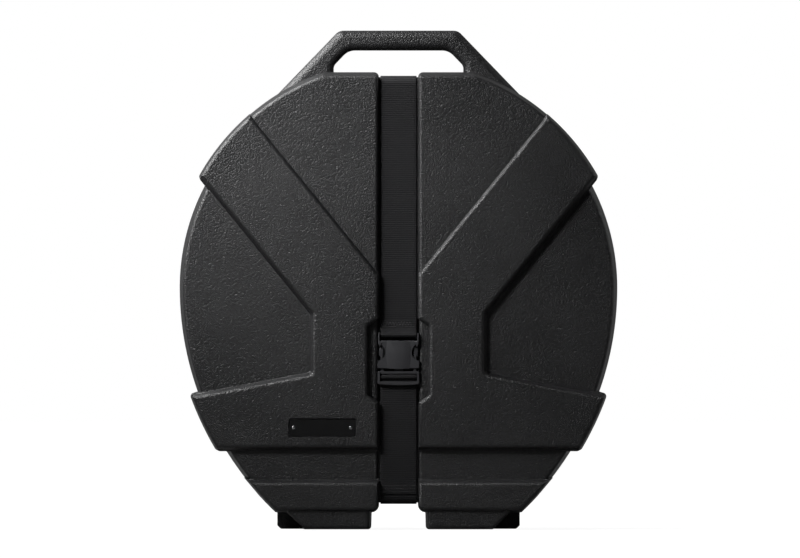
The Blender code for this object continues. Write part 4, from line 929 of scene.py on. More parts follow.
def flatten_large_faces(mesh):
    """Gives the corners of each large face that face's own direction, so that it shades flat."""
    directions = [corner.vector.copy() for corner in mesh.corner_normals]
    for polygon in mesh.polygons:
        if polygon.area > LARGE_FACE:
            for index in polygon.loop_indices:
                directions[index] = polygon.normal.copy()
    mesh.normals_split_custom_set(directions)


def close_pinholes(mesh):
    """Fills the slivers that a cut leaves open between points nearly in line."""
    bm = bmesh.new()
    bm.from_mesh(mesh)
    rims = [edge for edge in bm.edges if len(edge.link_faces) == 1]
    if rims:
        bmesh.ops.holes_fill(bm, edges=rims, sides=4)
        bm.to_mesh(mesh)
    bm.free()


def finished(solid, name, material, angle=SMOOTH_ANGLE, weighted=True):
    """Piece from a solid with its modifiers applied, shaded smooth below an angle."""
    mesh = evaluated_mesh(solid, name)
    close_pinholes(mesh)
    mesh.materials.clear()
    mesh.materials.append(material)
    mesh.polygons.foreach_set("material_index", [0] * len(mesh.polygons))
    mesh.shade_smooth()
    mesh.set_sharp_from_angle(angle=angle)
    piece = bpy.data.objects.new(name, mesh)
    pieces.objects.link(piece)
    if weighted:
        normals = piece.modifiers.new("normals", "WEIGHTED_NORMAL")
        normals.keep_sharp = True
        normals.weight = 80
        better = evaluated_mesh(piece, name)
        flatten_large_faces(better)
        piece.modifiers.clear()
        piece.data = better
        bpy.data.meshes.remove(mesh)
    return piece


def joined(name, parts, material, **settings):
    """One piece from several solids that may run into each other."""
    bm = bmesh.new()
    for part in parts:
        mesh = evaluated_mesh(part, part.name)
        bm.from_mesh(mesh)
        bpy.data.meshes.remove(mesh)
    return finished(finish_mesh(f"{name}_blank", bm), name, material, **settings)


def give(piece, body, slot, *replaced):
    """Hands a finished piece over to the frame, under its body where it has one, and hides the
    CAD parts that it replaces.
    """
    if body:
        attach(piece, body)
    if replaced:
        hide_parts(*replaced)
    return piece


# Shells

def channel_floor(side, grow, start):
    level = side * (CHANNEL_LEVEL - grow)
    high = CHANNEL_TOP_Z - grow
    low = CHANNEL_LOW_Z + grow
    corner = max(BEND_RADIUS - grow, LEAST_ROUND)
    return round_corners([(start, low), (level, low), (level, high), (start, high)], corner,
                         8, closed=False)


def belt(name, side, grow):
    past = -side * OVERRUN
    outside = side * (PANEL_LEVEL + OVERRUN)
    above = TOP_Z + OVERRUN
    outer = [(past, above), (outside, above), (outside, -OVERRUN), (past, -OVERRUN)]
    return extruded(name, channel_floor(side, grow, past) + outer, CHANNEL_HALF + grow)


def make_feet(name, side, inset, chamfer):
    outer = rim_point(rim_angle(BASE_Z, 0.0), 0.0)[0] - inset
    corners = [Corner(FOOT_INNER_X + FOOT_INNER_TAPER, 0.0, FOOT_SIDE, FOOT_ROUND),
               Corner(outer - chamfer, 0.0, FOOT_SIDE, FOOT_ROUND),
               Corner(outer, chamfer, FOOT_SIDE, 0.0),
               Corner(outer, FOOT_TOP_Z, FOOT_SIDE, 0.0),
               Corner(FOOT_INNER_X, FOOT_TOP_Z, FOOT_SIDE, 0.0)]
    return layer(name, corners, side, FOOT_BACK_LEVEL, FOOT_LEVEL, FOOT_EDGE)


def shell_blank(name, side, pocket):
    body = body_corners(CHANNEL_HALF + 2 * LAYER_STEP, SKIRT_ROUND + LAYER_STEP)
    crown = crown_corners(CHANNEL_HALF + LAYER_STEP, TOP_ROUND)
    yoke = yoke_corners(CHANNEL_HALF, pocket)
    skirt = skirt_corners(CHANNEL_HALF, SKIRT_ROUND)
    shell = layer(name, body, side, HALF_GAP, BODY_LEVEL, BODY_EDGE)
    parts = [layer(f"{name}_crown", crown, side, HALF_GAP, CROWN_LEVEL, CROWN_EDGE),
             layer(f"{name}_yoke", yoke, side, HALF_GAP, PANEL_LEVEL, PANEL_EDGE),
             layer(f"{name}_skirt", skirt, side, HALF_GAP, PANEL_LEVEL, PANEL_EDGE)]
    bridge = extruded(f"{name}_bridge", channel_floor(side, 0.0, side * HALF_GAP),
                      CHANNEL_HALF + POCKET_ROUND)
    if pocket:
        trench = rectangle(-POCKET_HALF, POCKET_HALF, POCKET_LOW_Z - POCKET_SHOULDER,
                           POCKET_TOP_Z + POCKET_SHOULDER)
        cut(bridge, block(f"{name}_trench", trench, side * (PANEL_LEVEL + OVERRUN),
                          side * POCKET_LEVEL))
        parts.append(block(f"{name}_pocket_floor",
                           offset_outline(pocket_outline(), POCKET_ROUND), side * HALF_GAP,
                           side * POCKET_LEVEL))
    return add(shell, *parts, bridge)


def hollows(name, side, *kept):
    """Cutters that hollow a shell out one after another: the space behind the strap, and on
    both sides of it the space behind each moulded form. Each is clear of what is kept."""
    start = side * (LIP_ROOT - LAYER_STEP)
    behind = channel_floor(side, WALL, start)
    solids = [extruded(f"{name}_middle", behind, CHANNEL_HALF + WALL + LAYER_STEP)]
    tuck = CROWN_TUCK + 2 * WALL + 2 * CAVITY_DRAFT
    forms = ((body_corners(CHANNEL_HALF), BODY_LEVEL),
             (crown_corners(CHANNEL_HALF, tuck=tuck), CROWN_LEVEL),
             (yoke_corners(CHANNEL_HALF), PANEL_LEVEL),
             (skirt_corners(CHANNEL_HALF), PANEL_LEVEL))
    for order, (corners, level) in enumerate(forms, start=1):
        right = offset_outline([(corner.x, corner.z) for corner in corners],
                               -(WALL + order * HOLLOW_STEP))
        for mirror in (1, -1):
            solids.append(block(f"{name}_{order}", mirrored(right, mirror),
                                side * (LIP_ROOT - order * LAYER_STEP),
                                side * (level - WALL), draft=CAVITY_DRAFT))
    return [cut(solid, *kept) for solid in solids]


def badge_outline(half_length, half_height):
    return rectangle(BADGE_X - half_length, BADGE_X + half_length,
                     BADGE_Z - half_height, BADGE_Z + half_height)


def make_lid(material):
    shell = shell_blank("lid_blank", -1, pocket=True)
    add(shell, make_feet("lid_feet", -1, LID_FOOT_INSET, LID_FOOT_CHAMFER))
    outline = badge_outline(BADGE_LENGTH / 2 + BADGE_MARGIN + BADGE_FLARE,
                            BADGE_HEIGHT / 2 + BADGE_MARGIN + BADGE_FLARE)
    recess = block("badge_recess", round_corners(outline, BADGE_CORNER, 6),
                   -(PANEL_LEVEL + SINK), -(PANEL_LEVEL - BADGE_RECESS_DEPTH),
                   draft=BADGE_FLARE)
    pocket_back = block("lid_pocket_back", pocket_outline(WALL), -(PANEL_LEVEL + OVERRUN),
                        -(POCKET_LEVEL - WALL))
    mouth = block("lid_mouth", offset_outline(whole(body_corners(0.0)), -WALL), OVERRUN,
                  -LIP_ROOT)
    cut(mouth, belt("lid_mouth_channel", -1, WALL))
    cut(shell, recess, mouth, *hollows("lid_hollow", -1, pocket_back))
    for mirror in (-1, 1):
        cut(shell, bar_along("badge_hole", "y", BADGE_HOLE, -(PANEL_LEVEL + OVERRUN),
                             -(PANEL_LEVEL - WALL - OVERRUN),
                             (BADGE_X + mirror * BADGE_RIVET_OFFSET, BADGE_Z), 16))
    give(finished(shell, "lid_shell", material), "lid", "shell", "front_shell")


def handle_form(name, outline, rounds, grow):
    """Solid of the handle's depth whose outline draws in towards both faces along a quarter
    circle, or opens out there where grow is 1."""
    steps = 8
    straight = HANDLE_DEPTH / 2 - HANDLE_EDGE
    rings = []
    for index in range(2 * steps + 2):
        face = -1 if index <= steps else 1
        share = (steps - index if face < 0 else index - steps - 1) / steps
        inset = HANDLE_EDGE * (1 - cos(pi / 2 * share))
        y = (HANDLE_SETBACK + HANDLE_DEPTH / 2
             + face * (straight + HANDLE_EDGE * sin(pi / 2 * share)))
        points = round_corners(offset_outline(outline, grow * inset),
                               [bend and bend + grow * inset for bend in rounds], 10)
        rings.append([(x, y, z) for x, z in points])
    return lofted(name, rings)


def make_handle():
    """Arch with its legs running down into the shell, and the opening for the hand."""
    root = HANDLE_HALF + (HANDLE_TOP_Z - HANDLE_ROOT_Z) / tan(HANDLE_SLOPE)
    arch = handle_form("handle_arch", [(-root, HANDLE_ROOT_Z), (root, HANDLE_ROOT_Z),
                                       (HANDLE_HALF, HANDLE_TOP_Z),
                                       (-HANDLE_HALF, HANDLE_TOP_Z)],
                       [0, 0, HANDLE_CORNER, HANDLE_CORNER], -1)
    low = HANDLE_ROOT_Z - OVERRUN
    top = HANDLE_TOP_Z - HANDLE_HEIGHT
    knee = top - (GRIP_HALF - GRIP_TOP_HALF) * tan(HANDLE_SLOPE)
    grip = handle_form("handle_grip", [(-GRIP_HALF, low), (GRIP_HALF, low), (GRIP_HALF, knee),
                                       (GRIP_TOP_HALF, top), (-GRIP_TOP_HALF, top),
                                       (-GRIP_HALF, knee)],
                       [0, 0, GRIP_KNEE, GRIP_CORNER, GRIP_CORNER, GRIP_KNEE], 1)
    return cut(arch, grip)


def swung(along, across, angle):
    """Where a point comes when it is turned about the origin."""
    return (along * cos(angle) - across * sin(angle), along * sin(angle) + across * cos(angle))


def screw_places():
    angles = [SCREW_START + 2 * pi * index / 3 for index in range(3)]
    return [(SCREW_CIRCLE * cos(angle), DISC_CENTRE_Z + SCREW_CIRCLE * sin(angle))
            for angle in angles]


def make_back(material):
    shell = shell_blank("back_blank", 1, pocket=False)
    add(shell, make_feet("back_feet", 1, REAR_FOOT_INSET, REAR_FOOT_CHAMFER), make_handle())
    inset = WALL + LIP_CLEARANCE
    body = whole(body_corners(0.0))
    lip = block("lip", offset_outline(body, -inset), WALL, -LIP_LENGTH, draft=LIP_CLEARANCE)
    add(shell, cut(lip, belt("lip_channel", -1, inset)))
    mouth = block("mouth", offset_outline(body, -RIM_WALL), -OVERRUN, LIP_ROOT)
    cut(mouth, belt("mouth_channel", 1, RIM_WALL))
    cut(shell, mouth, *hollows("back_hollow", 1))
    centre = (0.0, DISC_CENTRE_Z)
    add(shell, bar_along("boss", "y", BOSS_RADIUS, BOSS_FACE_Y, CHANNEL_LEVEL - WALL / 2,
                         centre, FINE_SIDES))
    before_boss = BOSS_FACE_Y - OVERRUN
    cut(shell, bar_along("seat", "y", POST_BORE, before_boss, BOSS_FACE_Y + SEAT_DEPTH,
                         centre))
    for place in screw_places():
        cut(shell, bar_along("screw_hole", "y", SCREW_HOLE, before_boss,
                             FLANGE_FACE_Y + SCREW_LENGTH, place, 16))
    for z in STRAP_RIVET_PLACES:
        cut(shell, bar_along("rivet_hole", "y", STRAP_HOLE, REAR_INNER_Y - OVERRUN,
                             PANEL_LEVEL + OVERRUN, (0.0, z), 16))
    give(finished(shell, "back_shell", material), "rear", "shell", "rear_shell")


# Strap

def spaced(points, step):
    """A path with points no further apart than a step."""
    path = [points[0]]
    for start, end in zip(points, points[1:]):
        count = max(1, ceil(distance(start, end) / step))
        for index in range(1, count + 1):
            share = index / count
            path.append((start[0] + (end[0] - start[0]) * share,
                         start[1] + (end[1] - start[1]) * share))
    return path


def web_section():
    """The strap's section: flat faces and round selvedges."""
    half = WEB_THICKNESS / 2
    flat = WEB_HALF - half
    points = []
    for side in (1, -1):
        for index in range(13):
            points.append((side * (2 * flat * index / 12 - flat), side * half))
        for index in range(1, 6):
            angle = side * pi / 2 - pi * index / 6
            points.append((side * flat + half * cos(angle), half * sin(angle)))
    return points


def web(name, path, material, holes=()):
    """Woven strap along a path of (y, z) points, with its weave's map in metres."""
    section = web_section()
    bm = bmesh.new()
    weave = bm.loops.layers.uv.new("weave")
    count = len(path)
    lengths = [0.0]
    for start, end in zip(path, path[1:]):
        lengths.append(lengths[-1] + distance(start, end))
    rings = []
    run = {}
    for index, (y, z) in enumerate(path):
        angle_in = heading(path[max(index - 1, 0)], path[max(index, 1)])
        angle_out = heading(path[min(index, count - 2)], path[min(index + 1, count - 1)])
        turn = turn_between(angle_in, angle_out)
        middle = angle_in + turn / 2
        stretch = 1 / cos(turn / 2)
        verts = []
        for x, lift in section:
            reach = lift * stretch
            vert = bm.verts.new((x, y + reach * sin(middle), z - reach * cos(middle)))
            run[vert] = (x, lengths[index])
            verts.append(vert)
        rings.append(verts)
    join_rings(bm, rings)
    for face in bm.faces:
        for loop in face.loops:
            loop[weave].uv = run[loop.vert]
    solid = finish_mesh(f"{name}_blank", bm)
    for place in holes:
        cut(solid, bar_along("strap_hole", "y", STRAP_HOLE, 0.0, PANEL_LEVEL + OVERRUN,
                             (0.0, place), 16))
    return finished(solid, name, material, angle=radians(50), weighted=False)


def wrap(level, z, radius, start, stop, steps):
    points = []
    for index in range(steps + 1):
        angle = start + (stop - start) * index / steps
        points.append((-(level + radius * cos(angle)), z + radius * sin(angle)))
    return points


def leg_path(run_z, hinge_z, up):
    """Path over the lid's edge, round its corner and past the fold: up is 1 for the leg that
    hangs from the top, and -1 for the one that stands on the bottom."""
    level = WEB_MID_LEVEL
    middle_z = (UPPER_HINGE_Z + LOWER_HINGE_Z) / 2
    path = round_corners([(-HALF_GAP, run_z), (-level, run_z), (-level, middle_z)],
                         WEB_BEND, 14, closed=False)[:-1]
    fold = [hinge_z + up * FOLD_HALF * (1 - index / 5) for index in range(11)]
    return path + [(-level, z) for z in fold if up * z < up * path[-1][1] - TOUCH_GAP]


def make_strap(material):
    level = WEB_MID_LEVEL
    corners = [(HALF_GAP, WEB_TOP_Z), (level, WEB_TOP_Z), (level, WEB_LOW_Z),
               (HALF_GAP, WEB_LOW_Z)]
    path = spaced(round_corners(corners, WEB_BEND, 14, closed=False), BACK_PATH_STEP)
    give(web("web_back", path, material, STRAP_RIVET_PLACES), "rear", "web", "strap_rear_run")
    path = leg_path(WEB_TOP_Z, UPPER_HINGE_Z, 1)
    path += wrap(BAR_LEVEL, BAR_Z, BAR_WRAP, -pi, pi / 4, 20)
    path += [(-TAIL_LEVEL, BAR_Z + 2 * BAR_WRAP), (-TAIL_LEVEL, FLAP_TOP_Z)]
    upper = give(web("web_upper", spaced(path, PATH_STEP), material), None, "web",
                 "strap_lid_top_run", "strap_upper_leg")
    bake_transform(upper)
    path = leg_path(WEB_LOW_Z, LOWER_HINGE_Z, -1)
    path += wrap(LADDER_LEVEL, LADDER_Z, LADDER_WRAP, pi, -pi / 3, 26)
    path += [(-TAIL_LEVEL, LADDER_Z - 2 * LADDER_WRAP), (-TAIL_LEVEL, TAIL_END_Z)]
    lower = give(web("web_lower", spaced(path, PATH_STEP), material), None, "web",
                 "strap_lid_bottom_run", "strap_lower_leg")
    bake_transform(lower)


def make_stitches(name, rows, pitch, material):
    """Stitches set along rows of points by Geometry Nodes, as one realised mesh."""
    verts = []
    edges = []
    for row in rows:
        edges += [(len(verts) + index, len(verts) + index + 1) for index in range(len(row) - 1)]
        verts += row
    mesh = bpy.data.meshes.new(f"{name}_rows")
    mesh.from_pydata(verts, edges, [])
    guide = bpy.data.objects.new(f"{name}_rows", mesh)
    tools.objects.link(guide)
    tree = bpy.data.node_groups.new(name, "GeometryNodeTree")
    tree.interface.new_socket("Geometry", in_out="INPUT", socket_type="NodeSocketGeometry")
    tree.interface.new_socket("Geometry", in_out="OUTPUT", socket_type="NodeSocketGeometry")
    source = tree.nodes.new("NodeGroupInput")
    curve = add_node(tree, "GeometryNodeMeshToCurve", {"Mesh": source.outputs[0]})
    points = add_node(tree, "GeometryNodeResampleCurve", {"Curve": curve.outputs[0],
                                                          "Length": pitch}, mode="LENGTH")
    tangent = add_node(tree, "GeometryNodeInputTangent")
    turn = add_node(tree, "FunctionNodeAlignRotationToVector",
                    {"Vector": tangent.outputs[0]}, axis="X")
    bead = add_node(tree, "GeometryNodeMeshUVSphere", {"Segments": 10, "Rings": 6,
                                                       "Radius": 1.0})
    shaped = add_node(tree, "GeometryNodeTransform",
                      {"Geometry": bead.outputs[0],
                       "Scale": (pitch * 0.46, STITCH_WIDTH / 2, STITCH_WIDTH / 2)})
    placed = add_node(tree, "GeometryNodeInstanceOnPoints",
                      {"Points": points.outputs[0], "Instance": shaped.outputs[0],
                       "Rotation": turn.outputs[0]})
    real = add_node(tree, "GeometryNodeRealizeInstances", {"Geometry": placed.outputs[0]})
    target = tree.nodes.new("NodeGroupOutput")
    tree.links.new(real.outputs[0], target.inputs[0])
    modifier = guide.modifiers.new(name, "NODES")
    modifier.node_group = tree
    return finished(guide, name, material, angle=pi, weighted=False)


def make_sewing(material):
    """Bar tacks and box rows that hold the strap's end above the buckle, and its hem."""
    y = -(TAIL_LEVEL + WEB_THICKNESS / 2 + 0.05 * MM)
    low = BAR_Z + 12 * MM
    high = FLAP_TOP_Z - 2 * MM
    zigzag = [(ZIGZAG_STEP * index - ZIGZAG_HALF, y, high if index % 2 else low + 1.5 * MM)
              for index in range(19)]
    rows = [zigzag, [(-TACK_HALF, y, low), (TACK_HALF, y, low)]]
    give(make_stitches("sewing_upper", rows, TACK_PITCH, material), "upper_strap", "web")
    hem_z = TAIL_END_Z + HEM_HEIGHT
    rows = [[(-HEM_HALF, y, z), (HEM_HALF, y, z)] for z in (hem_z, hem_z + HEM_ROWS)]
    give(make_stitches("sewing_lower", rows, HEM_PITCH, material), "lower_strap", "web")


# Buckle

def soften(solid, width, segments=4, angle=radians(40)):
    """Rounds a solid's edges that are sharper than an angle."""
    bevel = solid.modifiers.new("soften", "BEVEL")
    bevel.width = width
    bevel.segments = segments
    bevel.limit_method = "ANGLE"
    bevel.angle_limit = angle
    bevel.use_clamp_overlap = True
    bevel.harden_normals = False
    return solid


def plate_half_width(share):
    """Half width of the socket's front plate from its lower edge, 0, to its upper, 1."""
    low, waist, high = PLATE_HALVES
    if share < PLATE_WAIST:
        return waist + (low - waist) * (1 - share / PLATE_WAIST) ** 1.8
    return waist + (high - waist) * ((share - PLATE_WAIST) / (1 - PLATE_WAIST)) ** 1.9


def make_front_plate():
    """Crowned plate on the socket's front, with a waist between the release tabs."""
    bm = bmesh.new()
    back = -(BUCKLE_LEVEL + SLEEVE_THICKNESS / 2 - 1.5 * MM)
    face = -(BUCKLE_LEVEL + PLATE_FACE)
    foot = FEMALE_LOW_Z + PLATE_FOOT
    rows = 40
    columns = 36
    roll = PLATE_ROLL
    grid = []
    for row in range(rows + 1):
        share = row / rows
        half = plate_half_width(share)
        line = []
        for column in range(columns + 1):
            u = 2 * column / columns - 1
            bow = -PLATE_BOW * (1 - u ** 2) * (1 - share)
            z = foot + bow + (FEMALE_TOP_Z - foot) * share
            x = half * copysign(1 - (1 - abs(u)) ** 1.25, u)
            side = min(1.0, (half - abs(x)) / roll)
            end = min(1.0, (z - FEMALE_LOW_Z - bow) / roll, (FEMALE_TOP_Z - z) / roll)
            inset = max(1 - max(min(side, end), 0.0), 0.0)
            drop = roll * (1 - sqrt(max(1 - inset ** 2, 0.0)))
            crown = 3.2 * MM * (x / (24 * MM)) ** 2 + 1.6 * MM * (share - 0.55) ** 2
            line.append(bm.verts.new((x, face + crown + drop, z)))
        grid.append(line)
    for row, following in zip(grid, grid[1:]):
        for index in range(columns):
            bm.faces.new((row[index], row[index + 1], following[index + 1], following[index]))
    rim = (grid[0] + [line[-1] for line in grid[1:]] + list(reversed(grid[-1][:-1]))
           + [line[0] for line in reversed(grid[1:-1])])
    base = [bm.verts.new((vert.co.x, back, vert.co.z)) for vert in rim]
    for index in range(len(rim)):
        after = (index + 1) % len(rim)
        bm.faces.new((rim[index], rim[after], base[after], base[index]))
    bm.faces.new(base)
    return finish_mesh("front_plate", bm)


def make_socket_half(material):
    near = -(BUCKLE_LEVEL - SLEEVE_BACK)
    far = -(BUCKLE_LEVEL + SLEEVE_THICKNESS / 2)
    right = [(0.0, FEMALE_LOW_Z), (BUCKLE_HALF, FEMALE_LOW_Z + 0.6 * MM),
             (BUCKLE_HALF, WINDOW_Z), (EAR_HALF, FEMALE_TOP_Z - 1 * MM),
             (EAR_HALF, FEMALE_TOP_Z), (0.0, FEMALE_TOP_Z)]
    sleeve = soften(block("sleeve", both_halves(right), near, far), SLEEVE_EDGE)
    for mirror in (1, -1):
        cut(sleeve, bar_along("window", "y", WINDOW_RADIUS, far - OVERRUN, near + OVERRUN,
                              (mirror * WINDOW_X, WINDOW_Z), FINE_SIDES))
    level_near = -(BUCKLE_LEVEL - SOCKET_THICKNESS / 2)
    level_far = -(BUCKLE_LEVEL + SOCKET_THICKNESS / 2)
    cut(sleeve, block("socket", rectangle(-SOCKET_HALF, SOCKET_HALF, FEMALE_LOW_Z - OVERRUN,
                                          SOCKET_TOP_Z), level_near, level_far))
    parts = [sleeve, make_front_plate()]
    for mirror in (1, -1):
        outline = [(EAR_HALF - EAR_THICKNESS, FEMALE_TOP_Z - 9 * MM),
                   (EAR_HALF - 0.4 * MM, FEMALE_TOP_Z - 5 * MM), (EAR_HALF, FEMALE_TOP_Z),
                   (EAR_HALF, EAR_TOP_Z), (EAR_HALF - EAR_THICKNESS, EAR_TOP_Z),
                   (EAR_HALF - EAR_THICKNESS, FEMALE_TOP_Z),
                   (EAR_HALF - 2.4 * EAR_THICKNESS, FEMALE_TOP_Z - 2 * MM)]
        ear = block("ear", mirrored(outline, mirror), near, -(BUCKLE_LEVEL + EAR_FRONT))
        parts.append(soften(ear, SMALL_EDGE))
    parts.append(bar_along("bar", "x", BAR_RADIUS, -EAR_HALF + 0.5 * MM, EAR_HALF - 0.5 * MM,
                           (-BAR_LEVEL, BAR_Z)))
    give(joined("buckle_socket_half", parts, material), "buckle_socket", "buckle",
         "buckle_female")


def make_plug_half(material):
    near = -(BUCKLE_LEVEL - MALE_THICKNESS / 2)
    far = -(BUCKLE_LEVEL + MALE_THICKNESS / 2)
    rail_inner = WEB_HALF + RAIL_GAP
    slot_top = MALE_TOP_Z - HEAD_BAR_HEIGHT
    right = [(0.0, MALE_LOW_Z)]
    for index in range(1, 9):
        share = index / 8
        right.append((BUCKLE_HALF * share, MALE_LOW_Z + END_BAR_BOW * share ** 2))
    right += [(BUCKLE_HALF, MALE_TOP_Z), (0.0, MALE_TOP_Z)]
    frame_solid = soften(block("plug_frame", both_halves(right), near, far), FRAME_EDGE)
    slot = block("slot", rectangle(-rail_inner, rail_inner, MALE_SLOT_LOW_Z, slot_top),
                 near + OVERRUN, far - OVERRUN)
    relief = block("relief", rectangle(-rail_inner, rail_inner, MALE_LOW_Z - OVERRUN,
                                       (MALE_SLOT_LOW_Z + slot_top) / 2), near + OVERRUN,
                   far + END_BAR_THICKNESS)
    head = block("head_step", rectangle(-rail_inner, rail_inner, slot_top - 1 * MM,
                                        MALE_TOP_Z + OVERRUN), far + HEAD_STEP, far - OVERRUN)
    cut(frame_solid, slot, relief, head)
    parts = [frame_solid, bar_along("ladder", "x", LADDER_RADIUS, -BUCKLE_HALF + 1 * MM,
                                    BUCKLE_HALF - 1 * MM, (-LADDER_LEVEL, LADDER_Z))]
    arm_near = -(BUCKLE_LEVEL - ARM_THICKNESS / 2)
    arm_far = -(BUCKLE_LEVEL + ARM_THICKNESS / 2)
    root = MALE_TOP_Z - HEAD_BAR_HEIGHT / 2
    tab_low = WINDOW_Z - WINDOW_RADIUS / 2
    inner = ARM_TAB_HALF - ARM_WIDTH
    arm = [(ARM_NECK_HALF - ARM_WIDTH, root), (ARM_NECK_HALF, root),
           (ARM_NECK_HALF, tab_low), (ARM_TAB_HALF - 0.3 * MM, tab_low + 3 * MM),
           (ARM_TAB_HALF, WINDOW_Z), (ARM_TAB_HALF, WINDOW_Z + 3 * MM),
           (ARM_OUTER_HALF, ARM_TOP_Z - ARM_WIDTH),
           (ARM_OUTER_HALF - ARM_WIDTH / 2, ARM_TOP_Z), (inner - ARM_WIDTH / 4, ARM_TOP_Z),
           (inner, tab_low)]
    for mirror in (1, -1):
        parts.append(soften(block("arm", mirrored(arm, mirror), arm_near, arm_far),
                            SMALL_EDGE))
        for index in range(4):
            z = WINDOW_Z + RIDGE_PITCH * (index - 1.5)
            parts.append(bar_along("grip", "y", RIDGE_RADIUS, arm_far + 0.4 * MM,
                                   arm_near - 0.4 * MM,
                                   (mirror * (ARM_TAB_HALF - RIDGE_RADIUS / 2), z), 12))
    guide = both_halves([(0.0, root), (GUIDE_HALF, root), (GUIDE_TIP_HALF, GUIDE_TOP_Z),
                         (0.0, GUIDE_TOP_Z)])
    parts.append(soften(block("guide", guide, arm_near, arm_far), SMALL_EDGE))
    give(joined("buckle_plug_half", parts, material), "buckle_plug", "buckle", "buckle_male")


# Badge, rivets, padding and the post

def make_badge(plate_material, rivet_material):
    """Bare plate with a raised border, and its two rivets."""
    outline = round_corners(badge_outline(BADGE_LENGTH / 2, BADGE_HEIGHT / 2),
                            BADGE_CORNER - BADGE_MARGIN, 8)
    back = -(PANEL_LEVEL - BADGE_RECESS_DEPTH + TOUCH_GAP)
    face = back - BADGE_THICKNESS
    plate = block("plate", outline, back, face, edge=BADGE_EDGE, steps=3)
    field = offset_outline(outline, -BADGE_BORDER)
    cut(plate, block("field", field, face + BADGE_FIELD_DEPTH, face - OVERRUN))
    for mirror in (-1, 1):
        cut(plate, bar_along("badge_hole", "y", BADGE_HOLE, face - OVERRUN, back + OVERRUN,
                             (BADGE_X + mirror * BADGE_RIVET_OFFSET, BADGE_Z), 24))
    give(finished(plate, "badge_blank", plate_material), "lid", "badge", "badge_plate")
    for hand, mirror in (("left", -1), ("right", 1)):
        x = BADGE_X + mirror * BADGE_RIVET_OFFSET
        make_rivet(f"badge_stud_{hand}", BADGE_RIVET_SIZE, face - TOUCH_GAP,
                   -(PANEL_LEVEL - WALL), x, BADGE_Z, rivet_material, "lid",
                   f"badge_rivet_{hand}")


def make_rivet(name, size, under_y, tip_y, x, z, material, body, node):
    """Domed rivet with a set-down rim and a dimple left by the setting tool. Its size is the
    radius of its head and of its shank, and the height of its dome."""
    head, shank, dome = size
    out = -1.0 if tip_y > under_y else 1.0
    profile = [(0.0, under_y + out * dome * 0.86)]
    for index in range(1, 13):
        angle = pi / 2 * index / 12
        dimple = 0.14 * max(0.0, 1 - (sin(angle) / 0.35) ** 2)
        profile.append((head * sin(angle), under_y + out * dome * (cos(angle) - dimple)
                        + out * 0.1 * dome * (1 - cos(angle))))
    profile += [(head, under_y), (shank, under_y), (shank, tip_y), (0.0, tip_y)]
    rivet = turned(f"{name}_blank", profile, x, z, 40)
    give(finished(rivet, name, material, weighted=False), body, "rivet", node)


def make_strap_rivets(material):
    washer_near = REAR_INNER_Y - TOUCH_GAP - STRAP_WASHER
    for hand, z in zip(("upper", "lower"), STRAP_RIVET_PLACES):
        make_rivet(f"strap_stud_{hand}", STRAP_RIVET_SIZE, WEB_FACE_LEVEL + TOUCH_GAP,
                   washer_near - TOUCH_GAP, 0.0, z, material, "rear", f"strap_rivet_{hand}")


def make_pad(name, inner, far, toward, body, node, material, holes=()):
    """Foam disc with a soft rolled rim and a shallow quilt of dimples in its face."""
    sides = PAD_SIDES
    bm = bmesh.new()
    faces = []
    for surface in (0, 1):
        grid = []
        for ring in range(PAD_RINGS + 1):
            share = ring / PAD_RINGS
            radius = inner + (PAD_RADIUS - inner) * (1 - cos(pi * share)) / 2
            inset = min(radius - inner, PAD_RADIUS - radius)
            short = max(1 - inset / PAD_ROLL, 0.0)
            drop = PAD_ROLL * (1 - sqrt(max(1 - short ** 2, 0.0)))
            line = []
            for side in range(sides):
                angle = 2 * pi * (side + 0.3) / sides
                x = radius * cos(angle)
                z = radius * sin(angle)
                if surface:
                    wave = sin(pi * x / QUILT_PITCH) * sin(pi * z / QUILT_PITCH)
                    lumps = noise.noise(Vector((x, z, 0.0)) * 22)
                    flat = min(1.0, inset / QUILT_EASE)
                    depth = PAD_THICKNESS - drop - flat * (QUILT_DEPTH * (1 + wave)
                                                           + LUMP_DEPTH * abs(lumps))
                else:
                    depth = min(drop * 0.4, 1.2 * MM)
                line.append(bm.verts.new((x, far + toward * depth, DISC_CENTRE_Z + z)))
            grid.append(line)
        faces.append(grid)
    for grid in faces:
        for line, following in zip(grid, grid[1:]):
            for index in range(sides):
                after = (index + 1) % sides
                bm.faces.new((line[index], line[after], following[after], following[index]))
    for edge_line in (0, -1):
        under = faces[0][edge_line]
        over = faces[1][edge_line]
        for index in range(sides):
            after = (index + 1) % sides
            bm.faces.new((under[index], under[after], over[after], over[index]))
    pad = finish_mesh(f"{name}_blank", bm)
    for z in holes:
        cut(pad, bar_along("pad_hole", "y", WASHER_RADIUS + PAD_HOLE_MARGIN, far - OVERRUN,
                           far + OVERRUN, (0.0, z), 40))
    piece = give(finished(pad, name, material, weighted=False), body, "foam", node)


